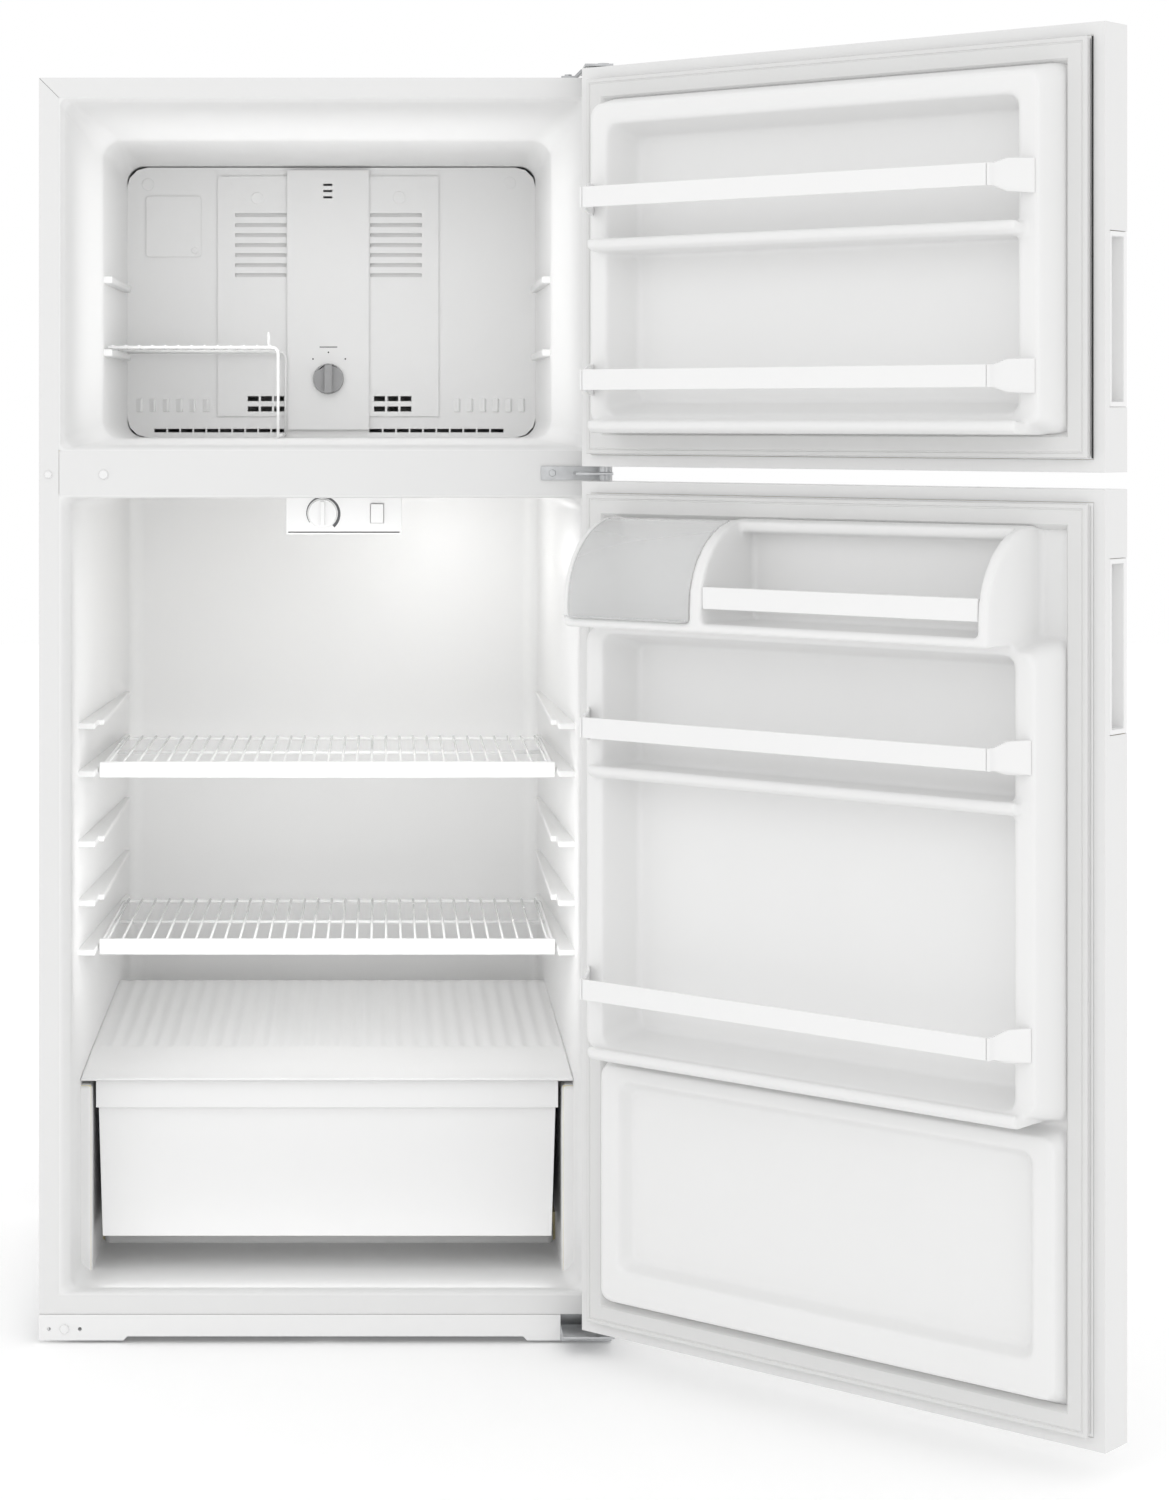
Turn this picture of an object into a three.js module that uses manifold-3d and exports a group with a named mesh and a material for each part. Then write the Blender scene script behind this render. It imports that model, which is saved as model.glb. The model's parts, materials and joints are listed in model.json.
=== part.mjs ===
// A top freezer refrigerator with both doors standing open, modelled in millimetres.
// X runs to the right, Y runs from the front of the cabinet to its back, Z runs up from the floor.
// The geometry is written with X = 0 at the middle of the cabinet and Y = 0 at its front face. The
// last lines move the whole object so that its origin is under the middle of its overall box.
import * as THREE from 'three';
import { mergeVertices } from 'three/addons/utils/BufferGeometryUtils.js';
import Module from 'manifold-3d';

const wasm = await Module();
wasm.setup();

// ---------------------------------------------------------------- driving dimensions
// cabinet
const cabinetWidth = 705;
const cabinetTop = 1555; // above the floor
const cabinetBottom = 35; // lower edge of the steel above the floor
const cabinetDepth = 648;
const sheet = 0.9; // painted sheet steel
const flangeWidth = 24.5; // steel turned inwards around the front
const sillHeight = 23; // steel across the front under the lower compartment
const clear = 0.3; // gap between pieces that touch
const play = 0.4; // gap around a piece that turns or slides
const linerWall = 2;
const backFoam = 66; // foam behind the compartments

// centre rail between the compartments
const freezerSection = 459; // rail top to cabinet top
const railHeight = 55;

// freezer compartment
const freezerSideWall = 69.5; // cabinet side to the compartment's side, behind the flare
const freezerFlare = 90; // depth of the flared mouth
const freezerTaper = 5; // how much each side closes in by the back
const freezerCeilingDrop = 69; // cabinet top to ceiling
const freezerFloorRise = 13; // rail top to floor
const evaporatorSpace = 156; // between the cover and the back of the freezer
const freezerLedgeDepth = 7;
const freezerShelfWidth = 217;
const freezerShelfRise = 119; // floor to shelf

// fresh food compartment
const fridgeSideWall = 37.5;
const fridgeTaper = 25;
const fridgeFloor = 60; // above the floor of the room
const fridgeMouthFlare = 10;
const fridgeFloorStep = 40; // rise of the floor towards the back
const fridgeFloorStepStart = 228;
const stepFromBack = 203; // front wall of the machine step, measured from the cabinet's back
const machineStepTop = 300;
const sidePadTop = 298;
const sidePadThickness = 16;
const sidePadStart = 95;

// wire shelves of the fresh food compartment
const upperShelfHeight = 700;
const lowerShelfHeight = 476;
const shelfGap = 2; // between a shelf's side and the narrowest place beside it
const shelfFront = 110;
const shelfWireCount = 31;
const wireSize = 3.4;
const shelfRodSize = 5;
const shelfTrimHeight = 18;
const shelfTrimDepth = 6;

// crisper
const drawerHeight = 197;
const drawerLipHeight = 34;
const drawerWall = 2.6;
const drawerFront = 100;
const crisperCoverThickness = 3;
const crisperCoverFrontHeight = 306;
const crisperCoverBackHeight = 362;

// doors
const doorSideGap = 1; // cabinet side to the door's side
const doorThickness = 49;
const doorStandOff = 13; // cabinet front to the door's inner face
const freezerDoorTopRise = 6; // above the cabinet top
const freezerDoorRise = 37; // its lower edge above the lower edge of the centre rail
const doorGap = 18; // between the two doors
const fridgeDoorBottom = 30;
const doorHem = 14; // steel turned onto the inner face
const gasketWidth = 24;
const gasketSqueeze = 0.3; // left between gasket and cabinet when shut
const doorOpening = 139; // degrees at which the doors stand
const pinFromSide = 12.9; // hinge pin from the door's side
const pinFromInnerFace = 25.9;
const pinRadius = 5;
const pinReach = 20; // how far a pin stands in a door
const dikeBaseInset = 39.5; // door edge to the outer foot of the raised liner frame
const dikeTopInset = 51.5;
const dikeBand = 24; // width of the frame's flat top
const dikeDraft = 14; // slope of the inner walls
const recessDepth = 3; // panel behind the bins, above the liner's base
const freezerDikeHeight = 52;
const fridgeDikeHeight = 60;
const lowerPanelHeight = 26;
const ledgeReach = 78;
const ledgeThickness = 14;
const ledgeSideGap = 66; // door edge to the end of a ledge
const trimReach = 108;
const trimHeight = 25;
const trimWall = 4;
const trimEndInset = 78.5;
const trimAboveLedge = 34;
const lowestTrimExtraRise = 27; // the bottle bin's bar stands this much higher above its ledge
const freezerLedgeRise = 43; // door's lower edge to the lower ledge
const freezerLedgeSpacing = 214;
const lowerPanelTopRise = 340; // fridge door's lower edge to the top of its plain lower panel
const fridgeLedgeGap = 10; // lower panel to the lower ledge
const fridgeLedgeSpacing = 333.8;
const handleHeight = 190;
const handleDepth = 20;
const handleFromInnerFace = 10;
const freezerHandleRise = 165; // door's lower edge to the middle of the handle
const fridgeHandleDrop = 169; // door's upper edge to the middle of the handle

// rack and dairy block at the top of the lower door
const blockTopDrop = 40; // below the door's top
const blockHeight = 128;
const blockArcRadius = 100;
const blockArcFoot = 15; // distance of the arc's centre from the door's inner face
const blockHingeInset = 60;
const blockFreeInset = 77;
const blockWall = 7;
const blockFloorThickness = 11;
const blockBackWall = 7;
const rackStepReach = 34; // the rack's upper back stands further forward
const rackStepDrop = 15; // below the block's top
const rackTrimRise = 28;
const dairyWidth = 173;
const postWidth = 16;
const dairyCoverThickness = 2.4;

// controls
const housingLeft = -52;
const housingRight = 94;
const housingHeight = 51;
const housingFront = 112;
const housingDepth = 150;
const dialRadius = 18;
const dialX = -6;
const knobRadius = 21;
const knobX = -4;
const knobRise = 81; // above the freezer floor
const fanDrop = 86; // evaporator cover's top to the fan's middle
const domeRadius = 38; // the shallow dome in front of the fan
const domeRise = 1.6;

// machine compartment
const machineDepth = 156;
const machineTop = 255;
const machineSideWall = 14;
const accessCoverThickness = 2.7;
const compressorRadius = 64;
const compressorHeight = 165;
const rollerRadius = 15.5;
const legRadius = 15;
const railInset = 11; // cabinet side to the base rails
const railWidth = 42;
const rollerFromBack = 48;
const legY = 50;
const bottomHingeReach = 63.5; // from the cabinet's side

// ---------------------------------------------------------------- derived sizes
const half = cabinetWidth / 2;
const doorHalf = half - doorSideGap;
const railTop = cabinetTop - freezerSection;
const railBottom = railTop - railHeight;
const mouthHalf = half - flangeWidth - 1;
const freezerHalf = half - freezerSideWall;
const freezerBackHalf = freezerHalf - freezerTaper;
const freezerFloor = railTop + freezerFloorRise;
const freezerCeiling = cabinetTop - freezerCeilingDrop;
const freezerBack = cabinetDepth - backFoam - linerWall;
const coverY = freezerBack - evaporatorSpace;
const fridgeHalf = half - fridgeSideWall;
const fridgeBackHalf = fridgeHalf - fridgeTaper;
const fridgeCeiling = railBottom - 1;
const fridgeBack = freezerBack + 5;
const stepY = cabinetDepth - stepFromBack;
const shelfHalf = fridgeBackHalf - shelfGap;
const shelfBack = fridgeBack - 117;
const freezerShelfZ = freezerFloor + freezerShelfRise;
const innerFaceY = -doorStandOff;
const outerFaceY = innerFaceY - doorThickness;
const pinX = doorHalf - pinFromSide;
const pinY = innerFaceY - pinFromInnerFace;
const freezerDoor = {
  name: 'freezer_door',
  bottom: railBottom + freezerDoorRise,
  top: cabinetTop + freezerDoorTopRise,
  dike: freezerDikeHeight,
};
const fridgeDoor = {
  name: 'fridge_door',
  bottom: fridgeDoorBottom,
  top: freezerDoor.bottom - doorGap,
  dike: fridgeDikeHeight,
};
const blockTop = fridgeDoor.top - blockTopDrop;
const blockBottom = blockTop - blockHeight;
const drawerBottom = fridgeFloor + fridgeFloorStep + 5;
const drawerTop = drawerBottom + drawerHeight;
const machineFront = cabinetDepth - machineDepth;
const underside = cabinetBottom + 1;
const rollerY = cabinetDepth - rollerFromBack;
const footX = half - railInset - railWidth / 2;
const bottomHingeLeft = half - bottomHingeReach;
const knobZ = freezerFloor + knobRise;
const freezerLowerLedge = freezerDoor.bottom + freezerLedgeRise;
const freezerUpperLedge = freezerLowerLedge + freezerLedgeSpacing;
const panelTop = fridgeDoor.bottom + lowerPanelTopRise;
const fridgeLowerLedge = panelTop + fridgeLedgeGap;
const fridgeUpperLedge = fridgeLowerLedge + fridgeLedgeSpacing;
const fridgeSideAt = (y) => fridgeHalf - (fridgeTaper * (y - 15)) / (fridgeBack - 15);
const padHalf = fridgeHalf - sidePadThickness - 4;

// ---------------------------------------------------------------- materials
function finish(color, roughness, metalness = 0, opacity = 1) {
  return new THREE.MeshStandardMaterial({ color, roughness, metalness, opacity, transparent: opacity < 1 });
}
const paintedSteel = finish(0xf0f0ef, 0.4, 0.1);
const linerPlastic = finish(0xe6e6e5, 0.45);
const trimPlastic = finish(0xf3f3f2, 0.3);
const rubber = finish(0xe4e4e3, 0.7);
const clearPlastic = finish(0xf2f6f6, 0.08, 0, 0.35);
const zincSteel = finish(0xb9bbbc, 0.35, 0.9);
const coatedWire = finish(0xf2f2f2, 0.35);
const foam = finish(0xe9dfa8, 0.9);
const greyPlastic = finish(0xa8a8a8, 0.4);
const aluminium = finish(0xc9cccd, 0.35, 0.9);
const copper = finish(0xb87333, 0.3, 0.9);
const blackPaint = finish(0x1c1c1d, 0.45, 0.3);
const darkPlastic = finish(0x3a3b3c, 0.5);
const glass = finish(0xfdfbf2, 0.1, 0, 0.5);
const board = finish(0x8d8a83, 0.85);
const blackRubber = finish(0x2a2a2a, 0.8);

// ---------------------------------------------------------------- building blocks
function toSolid(geometry) {
  const bare = geometry.clone();
  bare.deleteAttribute('normal');
  bare.deleteAttribute('uv');
  const merged = mergeVertices(bare, 1e-4);
  const points = merged.attributes.position.array;
  const corners = merged.index.array;
  const kept = [];
  for (let i = 0; i < corners.length; i += 3) {
    const [a, b, c] = [corners[i], corners[i + 1], corners[i + 2]];
    if (a !== b && b !== c && c !== a) kept.push(a, b, c);
  }
  return new wasm.Manifold(new wasm.Mesh({
    numProp: 3, vertProperties: new Float32Array(points), triVerts: new Uint32Array(kept),
  }));
}

function toGeometry(solid) {
  const mesh = solid.getMesh();
  const geometry = new THREE.BufferGeometry();
  geometry.setAttribute('position', new THREE.BufferAttribute(new Float32Array(mesh.vertProperties), 3));
  geometry.setIndex(new THREE.BufferAttribute(new Uint32Array(mesh.triVerts), 1));
  geometry.computeVertexNormals();
  return geometry;
}

function box(x0, x1, y0, y1, z0, z1) {
  const geometry = new THREE.BoxGeometry(1, 1, 1);
  const corner = geometry.attributes.position;
  for (let i = 0; i < corner.count; i += 1) {
    corner.setXYZ(
      i, corner.getX(i) < 0 ? x0 : x1, corner.getY(i) < 0 ? y0 : y1, corner.getZ(i) < 0 ? z0 : z1,
    );
  }
  return toSolid(geometry);
}

// a round bar from one point to another
function rod(from, to, radius, sides = 12, endRadius = radius) {
  const a = new THREE.Vector3(...from);
  const b = new THREE.Vector3(...to);
  const along = b.clone().sub(a);
  const geometry = new THREE.CylinderGeometry(endRadius, radius, along.length(), sides);
  const turn = new THREE.Quaternion().setFromUnitVectors(new THREE.Vector3(0, 1, 0), along.normalize());
  geometry.applyQuaternion(turn);
  geometry.translate((a.x + b.x) / 2, (a.y + b.y) / 2, (a.z + b.z) / 2);
  return toSolid(geometry);
}

// an outline extruded along X: its points are [y, z]
function alongX(points, x0, x1) {
  const shape = new THREE.Shape(points.map(([y, z]) => new THREE.Vector2(y, z)));
  const geometry = new THREE.ExtrudeGeometry(shape, { depth: x1 - x0, bevelEnabled: false });
  const turn = new THREE.Matrix4().makeBasis(
    new THREE.Vector3(0, 1, 0), new THREE.Vector3(0, 0, 1), new THREE.Vector3(1, 0, 0),
  );
  geometry.applyMatrix4(turn);
  geometry.translate(x0, 0, 0);
  return toSolid(geometry);
}

// an outline extruded upwards: its points are [x, y]
function alongZ(points, z0, z1) {
  const shape = new THREE.Shape(points.map(([x, y]) => new THREE.Vector2(x, y)));
  const geometry = new THREE.ExtrudeGeometry(shape, { depth: z1 - z0, bevelEnabled: false });
  geometry.translate(0, 0, z0);
  return toSolid(geometry);
}

// an outline extruded towards the back: its points are [x, z]
function alongY(points, y0, y1) {
  const shape = new THREE.Shape(points.map(([x, z]) => new THREE.Vector2(x, z)));
  const geometry = new THREE.ExtrudeGeometry(shape, { depth: y1 - y0, bevelEnabled: false });
  geometry.rotateX(Math.PI / 2);
  geometry.translate(0, y1, 0);
  return toSolid(geometry);
}

// a rectangle with round corners, as [x, z] points
function roundedRectangle(x0, x1, z0, z1, radius, steps = 3) {
  const points = [];
  const corners = [[x1, z1, 0], [x0, z1, 1], [x0, z0, 2], [x1, z0, 3]];
  for (const [x, z, quarter] of corners) {
    const cx = x === x1 ? x1 - radius : x0 + radius;
    const cz = z === z1 ? z1 - radius : z0 + radius;
    for (let i = 0; i <= steps; i += 1) {
      const angle = ((quarter + i / steps) * Math.PI) / 2;
      points.push([cx + radius * Math.cos(angle), cz + radius * Math.sin(angle)]);
    }
  }
  return points;
}

// a closed body through rings that have the same number of points, each ring a list of [x, z] at its own y
function loft(rings) {
  const count = rings[0].points.length;
  const positions = [];
  for (const ring of rings) {
    for (const [x, z] of ring.points) positions.push(x, ring.y, z);
  }
  const faces = [];
  for (let r = 0; r + 1 < rings.length; r += 1) {
    for (let i = 0; i < count; i += 1) {
      const j = (i + 1) % count;
      const [a, b, c, d] = [r * count + i, r * count + j, (r + 1) * count + j, (r + 1) * count + i];
      faces.push(a, d, b, b, d, c);
    }
  }
  const outline = (ring) => ring.points.map(([x, z]) => new THREE.Vector2(x, z));
  const last = (rings.length - 1) * count;
  for (const [a, b, c] of THREE.ShapeUtils.triangulateShape(outline(rings[0]), [])) faces.push(a, b, c);
  for (const [a, b, c] of THREE.ShapeUtils.triangulateShape(outline(rings[rings.length - 1]), [])) {
    faces.push(last + a, last + c, last + b);
  }
  const geometry = new THREE.BufferGeometry();
  geometry.setAttribute('position', new THREE.Float32BufferAttribute(positions, 3));
  geometry.setIndex(faces);
  return toSolid(geometry);
}

// moves each edge of an anticlockwise outline inwards by a distance, or outwards when it is negative
function inset(points, distance) {
  const lines = points.map((p, i) => {
    const q = points[(i + 1) % points.length];
    const length = Math.hypot(q[0] - p[0], q[1] - p[1]);
    const direction = [(q[0] - p[0]) / length, (q[1] - p[1]) / length];
    return { at: [p[0] - direction[1] * distance, p[1] + direction[0] * distance], direction };
  });
  return lines.map((line, i) => {
    const before = lines[(i + lines.length - 1) % lines.length];
    const cross = before.direction[0] * line.direction[1] - before.direction[1] * line.direction[0];
    const gap = [line.at[0] - before.at[0], line.at[1] - before.at[1]];
    const t = (gap[0] * line.direction[1] - gap[1] * line.direction[0]) / cross;
    return [before.at[0] + before.direction[0] * t, before.at[1] + before.direction[1] * t];
  });
}

function join(...solids) {
  return solids.reduce((sum, solid) => sum.add(solid));
}

const object = new THREE.Group();

function part(name, solid, material, group = object) {
  const mesh = new THREE.Mesh(toGeometry(solid), material);
  mesh.name = name;
  group.add(mesh);
  return mesh;
}

// ---------------------------------------------------------------- compartment spaces
// the freezer compartment's space, grown on every side by a margin, from a given front
function freezerSpace(margin, front) {
  const ring = (y, halfWidth, low, high, radius) => ({
    y,
    points: roundedRectangle(
      -halfWidth - margin, halfWidth + margin, low - margin, high + margin, radius + margin,
    ),
  });
  const mouthTop = cabinetTop - flangeWidth;
  return loft([
    ring(front, mouthHalf, railTop + 0.5, mouthTop, 10),
    ring(2, mouthHalf, railTop + 0.5, mouthTop, 10),
    ring(freezerFlare, freezerHalf, freezerFloor, freezerCeiling, 24),
    ring(freezerBack + margin, freezerBackHalf, freezerFloor, freezerCeiling - 8, 24),
  ]);
}

// the fresh food compartment's space, with its stepped floor and the pads beside the drawer
function fridgeSpace(margin, front) {
  const ring = (y, halfWidth, radius) => ({
    y,
    points: roundedRectangle(
      -halfWidth - margin, halfWidth + margin, fridgeFloor - margin, fridgeCeiling + margin, radius + margin,
    ),
  });
  const whole = loft([
    ring(front, fridgeHalf + fridgeMouthFlare, 12),
    ring(2, fridgeHalf + fridgeMouthFlare, 12),
    ring(15, fridgeHalf, 16),
    ring(fridgeBack + margin, fridgeBackHalf, 20),
  ]);
  const floorTop = fridgeFloor + fridgeFloorStep;
  const rise = [
    [fridgeFloorStepStart + margin, fridgeFloor - 30],
    [cabinetDepth + 30, fridgeFloor - 30],
    [cabinetDepth + 30, machineStepTop + 16 - margin],
    [stepY + 25 + margin, machineStepTop - margin],
    [stepY + margin, machineStepTop - 30 - margin],
    [stepY + margin, floorTop - margin],
    [fridgeFloorStepStart + 20 + margin, floorTop - margin],
  ];
  let space = whole.subtract(alongX(rise, -half, half));
  for (const side of [-1, 1]) {
    const inner = side * (padHalf + margin);
    const outer = side * half;
    space = space.subtract(box(
      Math.min(inner, outer), Math.max(inner, outer), sidePadStart + margin, cabinetDepth,
      0, sidePadTop - margin,
    ));
  }
  return space;
}

// ---------------------------------------------------------------- cabinet
function cabinetWrapper() {
  const outer = box(-half, half, 0, cabinetDepth, cabinetBottom, cabinetTop);
  const inner = box(
    -half + sheet, half - sheet, sheet, cabinetDepth + 10, cabinetBottom - 10, cabinetTop - sheet,
  );
  const opening = box(
    -half + flangeWidth, half - flangeWidth, -10, 10, cabinetBottom + sillHeight, cabinetTop - flangeWidth,
  );
  return outer.subtract(inner).subtract(opening);
}

function centreRail() {
  const [x0, x1] = [-half + flangeWidth + clear, half - flangeWidth - clear];
  return join(
    box(x0, x1, 0, sheet, railBottom + 0.5, railTop),
    box(x0, x1, 0, 15, railBottom + 4, railBottom + 4 + sheet),
    box(x0, x1, 0, 15, railTop - 5 - sheet, railTop - 5),
  );
}

function insulationFoam() {
  const gap = sheet + clear;
  const block = box(-half + gap, half - gap, gap, cabinetDepth - gap, underside + clear, cabinetTop - gap);
  const railSlot = box(-half, half, -10, 15 + clear, railBottom + 4 - clear, railTop - 5 + clear);
  const side = half - machineSideWall;
  const machine = join(
    box(-side, side, machineFront, cabinetDepth + 10, 0, machineTop),
    box(-half, half, cabinetDepth - accessCoverThickness - 2 * clear, cabinetDepth + 10, 0, machineTop),
  );
  return block
    .subtract(freezerSpace(linerWall + clear, -10))
    .subtract(fridgeSpace(linerWall + clear, -10))
    .subtract(railSlot)
    .subtract(machine);
}

function freezerLiner() {
  const front = sheet + clear;
  const outer = freezerSpace(linerWall, front);
  const ledges = [];
  for (const z of [freezerShelfZ - wireSize - clear, freezerShelfZ + 88]) {
    for (const side of [-1, 1]) {
      const inner = side * (freezerBackHalf - freezerLedgeDepth);
      const [x0, x1] = [Math.min(inner, side * half), Math.max(inner, side * half)];
      ledges.push(box(x0, x1, freezerFlare + 12, coverY - 25, z - 10, z));
    }
  }
  return outer.subtract(freezerSpace(0, -20)).add(join(...ledges).intersect(outer));
}

function fridgeLiner() {
  const front = sheet + clear;
  const outer = fridgeSpace(linerWall, front);
  const ledges = [];
  const levels = [upperShelfHeight + 60, upperShelfHeight, (upperShelfHeight + lowerShelfHeight) / 2 + 24,
    (upperShelfHeight + lowerShelfHeight) / 2 - 50, lowerShelfHeight];
  for (const level of levels) {
    const top = level - shelfRodSize - clear;
    for (const side of [-1, 1]) {
      for (const [innerX, start] of [[shelfHalf + 2, shelfFront - 38], [shelfHalf - 5, shelfFront + 12]]) {
        const inner = side * innerX;
        const [x0, x1] = [Math.min(inner, side * half), Math.max(inner, side * half)];
        ledges.push(box(x0, x1, start, fridgeBack - 25, top - 8, top));
      }
    }
  }
  return outer.subtract(fridgeSpace(0, -20)).add(join(...ledges).intersect(outer));
}

function backPanel() {
  const edge = half - sheet - clear;
  return box(-edge, edge, cabinetDepth - sheet, cabinetDepth, machineTop, cabinetTop - sheet - clear);
}

function baseFrame() {
  const edge = half - sheet - clear;
  const pieces = [box(-edge, edge, 3, cabinetDepth - 4, underside - 2, underside)];
  for (const side of [-1, 1]) {
    const outer = side * (half - railInset);
    const inner = side * (half - railInset - railWidth);
    for (const x of [outer, inner]) {
      pieces.push(box(x - 1, x + 1, 20, cabinetDepth - 10, 9, underside - 1));
    }
  }
  const reach = half - railInset;
  pieces.push(box(-reach, reach, 20, 22, 9, underside - 1));
  pieces.push(box(-reach, reach, cabinetDepth - 12, cabinetDepth - 10, 24, underside - 1));
  let frame = join(...pieces);
  for (const side of [-1, 1]) {
    const x = side * (half - railInset - railWidth / 2);
    frame = frame.subtract(rod(
      [x - railWidth, rollerY, rollerRadius], [x + railWidth, rollerY, rollerRadius], 3 + play,
    ));
  }
  return frame;
}

function levellingLeg(side) {
  const x = side * footX;
  return join(
    rod([x, legY, 0], [x, legY, 7], legRadius, 16),
    rod([x, legY, 6], [x, legY, underside - 2 - clear], 4, 12),
  );
}

function roller(side) {
  const x = side * footX;
  const wheel = rod([x - 9, rollerY, rollerRadius], [x + 9, rollerY, rollerRadius], rollerRadius, 20);
  return wheel.add(rod([x - 23.5, rollerY, rollerRadius], [x + 23.5, rollerY, rollerRadius], 3, 10));
}

function baseGrille() {
  const [x0, x1] = [-half, bottomHingeLeft - clear];
  const top = cabinetBottom - clear;
  const outline = [
    [x0, 3], [x0 + 104, 3], [x0 + 109, 8], [x1 - 46, 8], [x1 - 41, 3], [x1, 3], [x1, top], [x0, top],
  ];
  let grille = alongY(outline, -1.5, 1.5);
  for (const x of [-footX, 0, bottomHingeLeft - 30]) {
    grille = grille.add(box(x - 10, x + 10, 1, 20 - clear, 15, 18));
  }
  for (const x of [-half + 12.5, -half + 50.5]) {
    grille = grille.subtract(rod([x, -5, 17], [x, 5, 17], 2.4, 10));
  }
  return grille;
}

function plug(x, z, face, radius) {
  return rod([x, face, z], [x, face - 2.2, z], radius, 16, radius - 1.2);
}

// ---------------------------------------------------------------- hinges
function topHinge() {
  const [left, right] = [half - 62, half - 2.5];
  const foot = cabinetTop + clear;
  const plateTop = freezerDoor.top + 5.5;
  const outline = [
    [left, foot], [left + 18, foot], [left + 26, plateTop - 3], [right, plateTop - 3], [right, plateTop],
    [left + 24, plateTop], [left + 16, foot + 3], [left, foot + 3],
  ];
  return join(
    alongY(outline, 10, 62),
    box(left + 25, right, pinY - 13, 11, plateTop - 3, plateTop),
    rod([pinX, pinY, plateTop - 1], [pinX, pinY, freezerDoor.top - pinReach + 5], pinRadius),
    rod([pinX, pinY, plateTop - 1], [pinX, pinY, plateTop + 1.5], 8, 6),
    rod([left + 9, 24, foot + 2], [left + 9, 24, foot + 6], 5, 6),
    rod([left + 9, 48, foot + 2], [left + 9, 48, foot + 6], 5, 6),
  );
}

function centreHinge() {
  const [left, right] = [half - 88, half - 2.5];
  const level = (fridgeDoor.top + freezerDoor.bottom) / 2;
  return join(
    box(left, right, -3 - clear, -clear, level - 8.5, level + 8.5),
    box(left + 40, right, pinY - 13, -clear, level - 1.5, level + 1.5),
    rod(
      [pinX, pinY, fridgeDoor.top - pinReach + 5], [pinX, pinY, freezerDoor.bottom + pinReach - 5], pinRadius,
    ),
    rod([left + 14, -2, level], [left + 14, -6, level], 4.5, 6),
  );
}

function bottomHinge() {
  const [left, right] = [bottomHingeLeft, half - 1];
  const plateTop = fridgeDoor.bottom - 8;
  return join(
    box(left, right, -1.5, 19.5, 2, 5),
    box(left, right, -1.5, 1.5, 2, plateTop),
    box(left, right, pinY - 13, 1.5, plateTop - 3, plateTop),
    rod([pinX, pinY, plateTop - 1], [pinX, pinY, fridgeDoor.bottom + pinReach - 8], pinRadius),
  );
}

// ---------------------------------------------------------------- freezer fittings
const coverHalf = freezerBackHalf + freezerTaper / 2 - 2;
const coverTop = freezerCeiling - 8;
const columnFace = coverY - 8;
const coverCorner = 28;
const fanX = -5;
const fanZ = coverTop - fanDrop;
const fanFront = coverY + 6;

function evaporatorCover() {
  const thickness = 3;
  const columnLeft = -60;
  const columnRight = 51;
  const outline = roundedRectangle(-coverHalf, coverHalf, freezerFloor + 1, coverTop, coverCorner);
  const plate = alongY(outline, coverY, coverY + thickness);
  const cover = join(
    plate,
    box(columnLeft - 95, columnRight + 95, coverY - 3, coverY + 1, freezerFloor + 30, coverTop - 12),
    box(columnLeft, columnRight, columnFace, coverY + 1, freezerFloor + 12, coverTop - 4),
    rod([fanX, columnFace + 1, fanZ], [fanX, columnFace - domeRise, fanZ], domeRadius, 24, domeRadius - 14),
  );
  const slots = [];
  for (let row = 0; row < 7; row += 1) {
    const z = coverTop - 65 - row * 13.65;
    slots.push([columnLeft - 71, columnLeft - 1.5, z - 2.5, z + 2.5]);
    slots.push([columnRight + 2, columnRight + 72, z - 2.5, z + 2.5]);
  }
  for (let row = 0; row < 3; row += 1) {
    const z = coverTop - 24 - row * 8.5;
    slots.push([-11, 1.4, z - 1.5, z + 1.5]);
  }
  for (let row = 0; row < 2; row += 1) {
    const z = freezerFloor + 54 - row * 14;
    for (let column = 0; column < 3; column += 1) {
      slots.push([-114 + column * 18, -99 + column * 18, z - 3.5, z + 3.5]);
      slots.push([58 + column * 18, 73 + column * 18, z - 3.5, z + 3.5]);
    }
  }
  slots.push([-coverHalf + 37, -coverHalf + 214, freezerFloor + 8, freezerFloor + 13]);
  slots.push([coverHalf - 227, coverHalf - 44, freezerFloor + 8, freezerFloor + 13]);
  const cuts = slots.map(([x0, x1, z0, z1]) => box(x0, x1, columnFace - 10, coverY + 10, z0, z1));
  cuts.push(rod([knobX, columnFace - 10, knobZ], [knobX, coverY + 10, knobZ], 3 + play));
  return cover.subtract(join(...cuts));
}
function fillCover() {
  const left = -coverHalf + 26;
  const top = coverTop - 39;
  const plate = alongY(roundedRectangle(left, left + 75, top - 83, top, 4), coverY - 2.2, coverY - clear);
  return plate.add(rod([left + 66, coverY - 2, top - 74], [left + 66, coverY - 3.6, top - 74], 4, 10));
}

function evaporatorCoil() {
  const [x0, x1] = [-coverHalf + 48, coverHalf - 48];
  const [z0, z1] = [freezerFloor + 41, coverTop - 150];
  const [y0, y1] = [coverY + 22, freezerBack - 30];
  const solids = [];
  const fins = 6;
  for (let i = 0; i <= fins; i += 1) {
    const x = x0 + ((x1 - x0) * i) / fins;
    solids.push(box(x - 0.6, x + 0.6, y0, y1, z0, z1));
  }
  const tubes = 2;
  for (let i = 0; i < tubes; i += 1) {
    const z = z0 + ((z1 - z0) * (i + 0.5)) / tubes;
    for (const y of [y0 + 25, y1 - 25]) {
      solids.push(box(x0 - 12, x1 + 12, y - 3.5, y + 3.5, z - 3.5, z + 3.5));
    }
    for (const x of [x0 - 12, x1 + 12]) {
      solids.push(box(x - 4, x + 4, y0 + 22, y1 - 22, z - 4, z + 4));
    }
  }
  return join(...solids);
}

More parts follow.
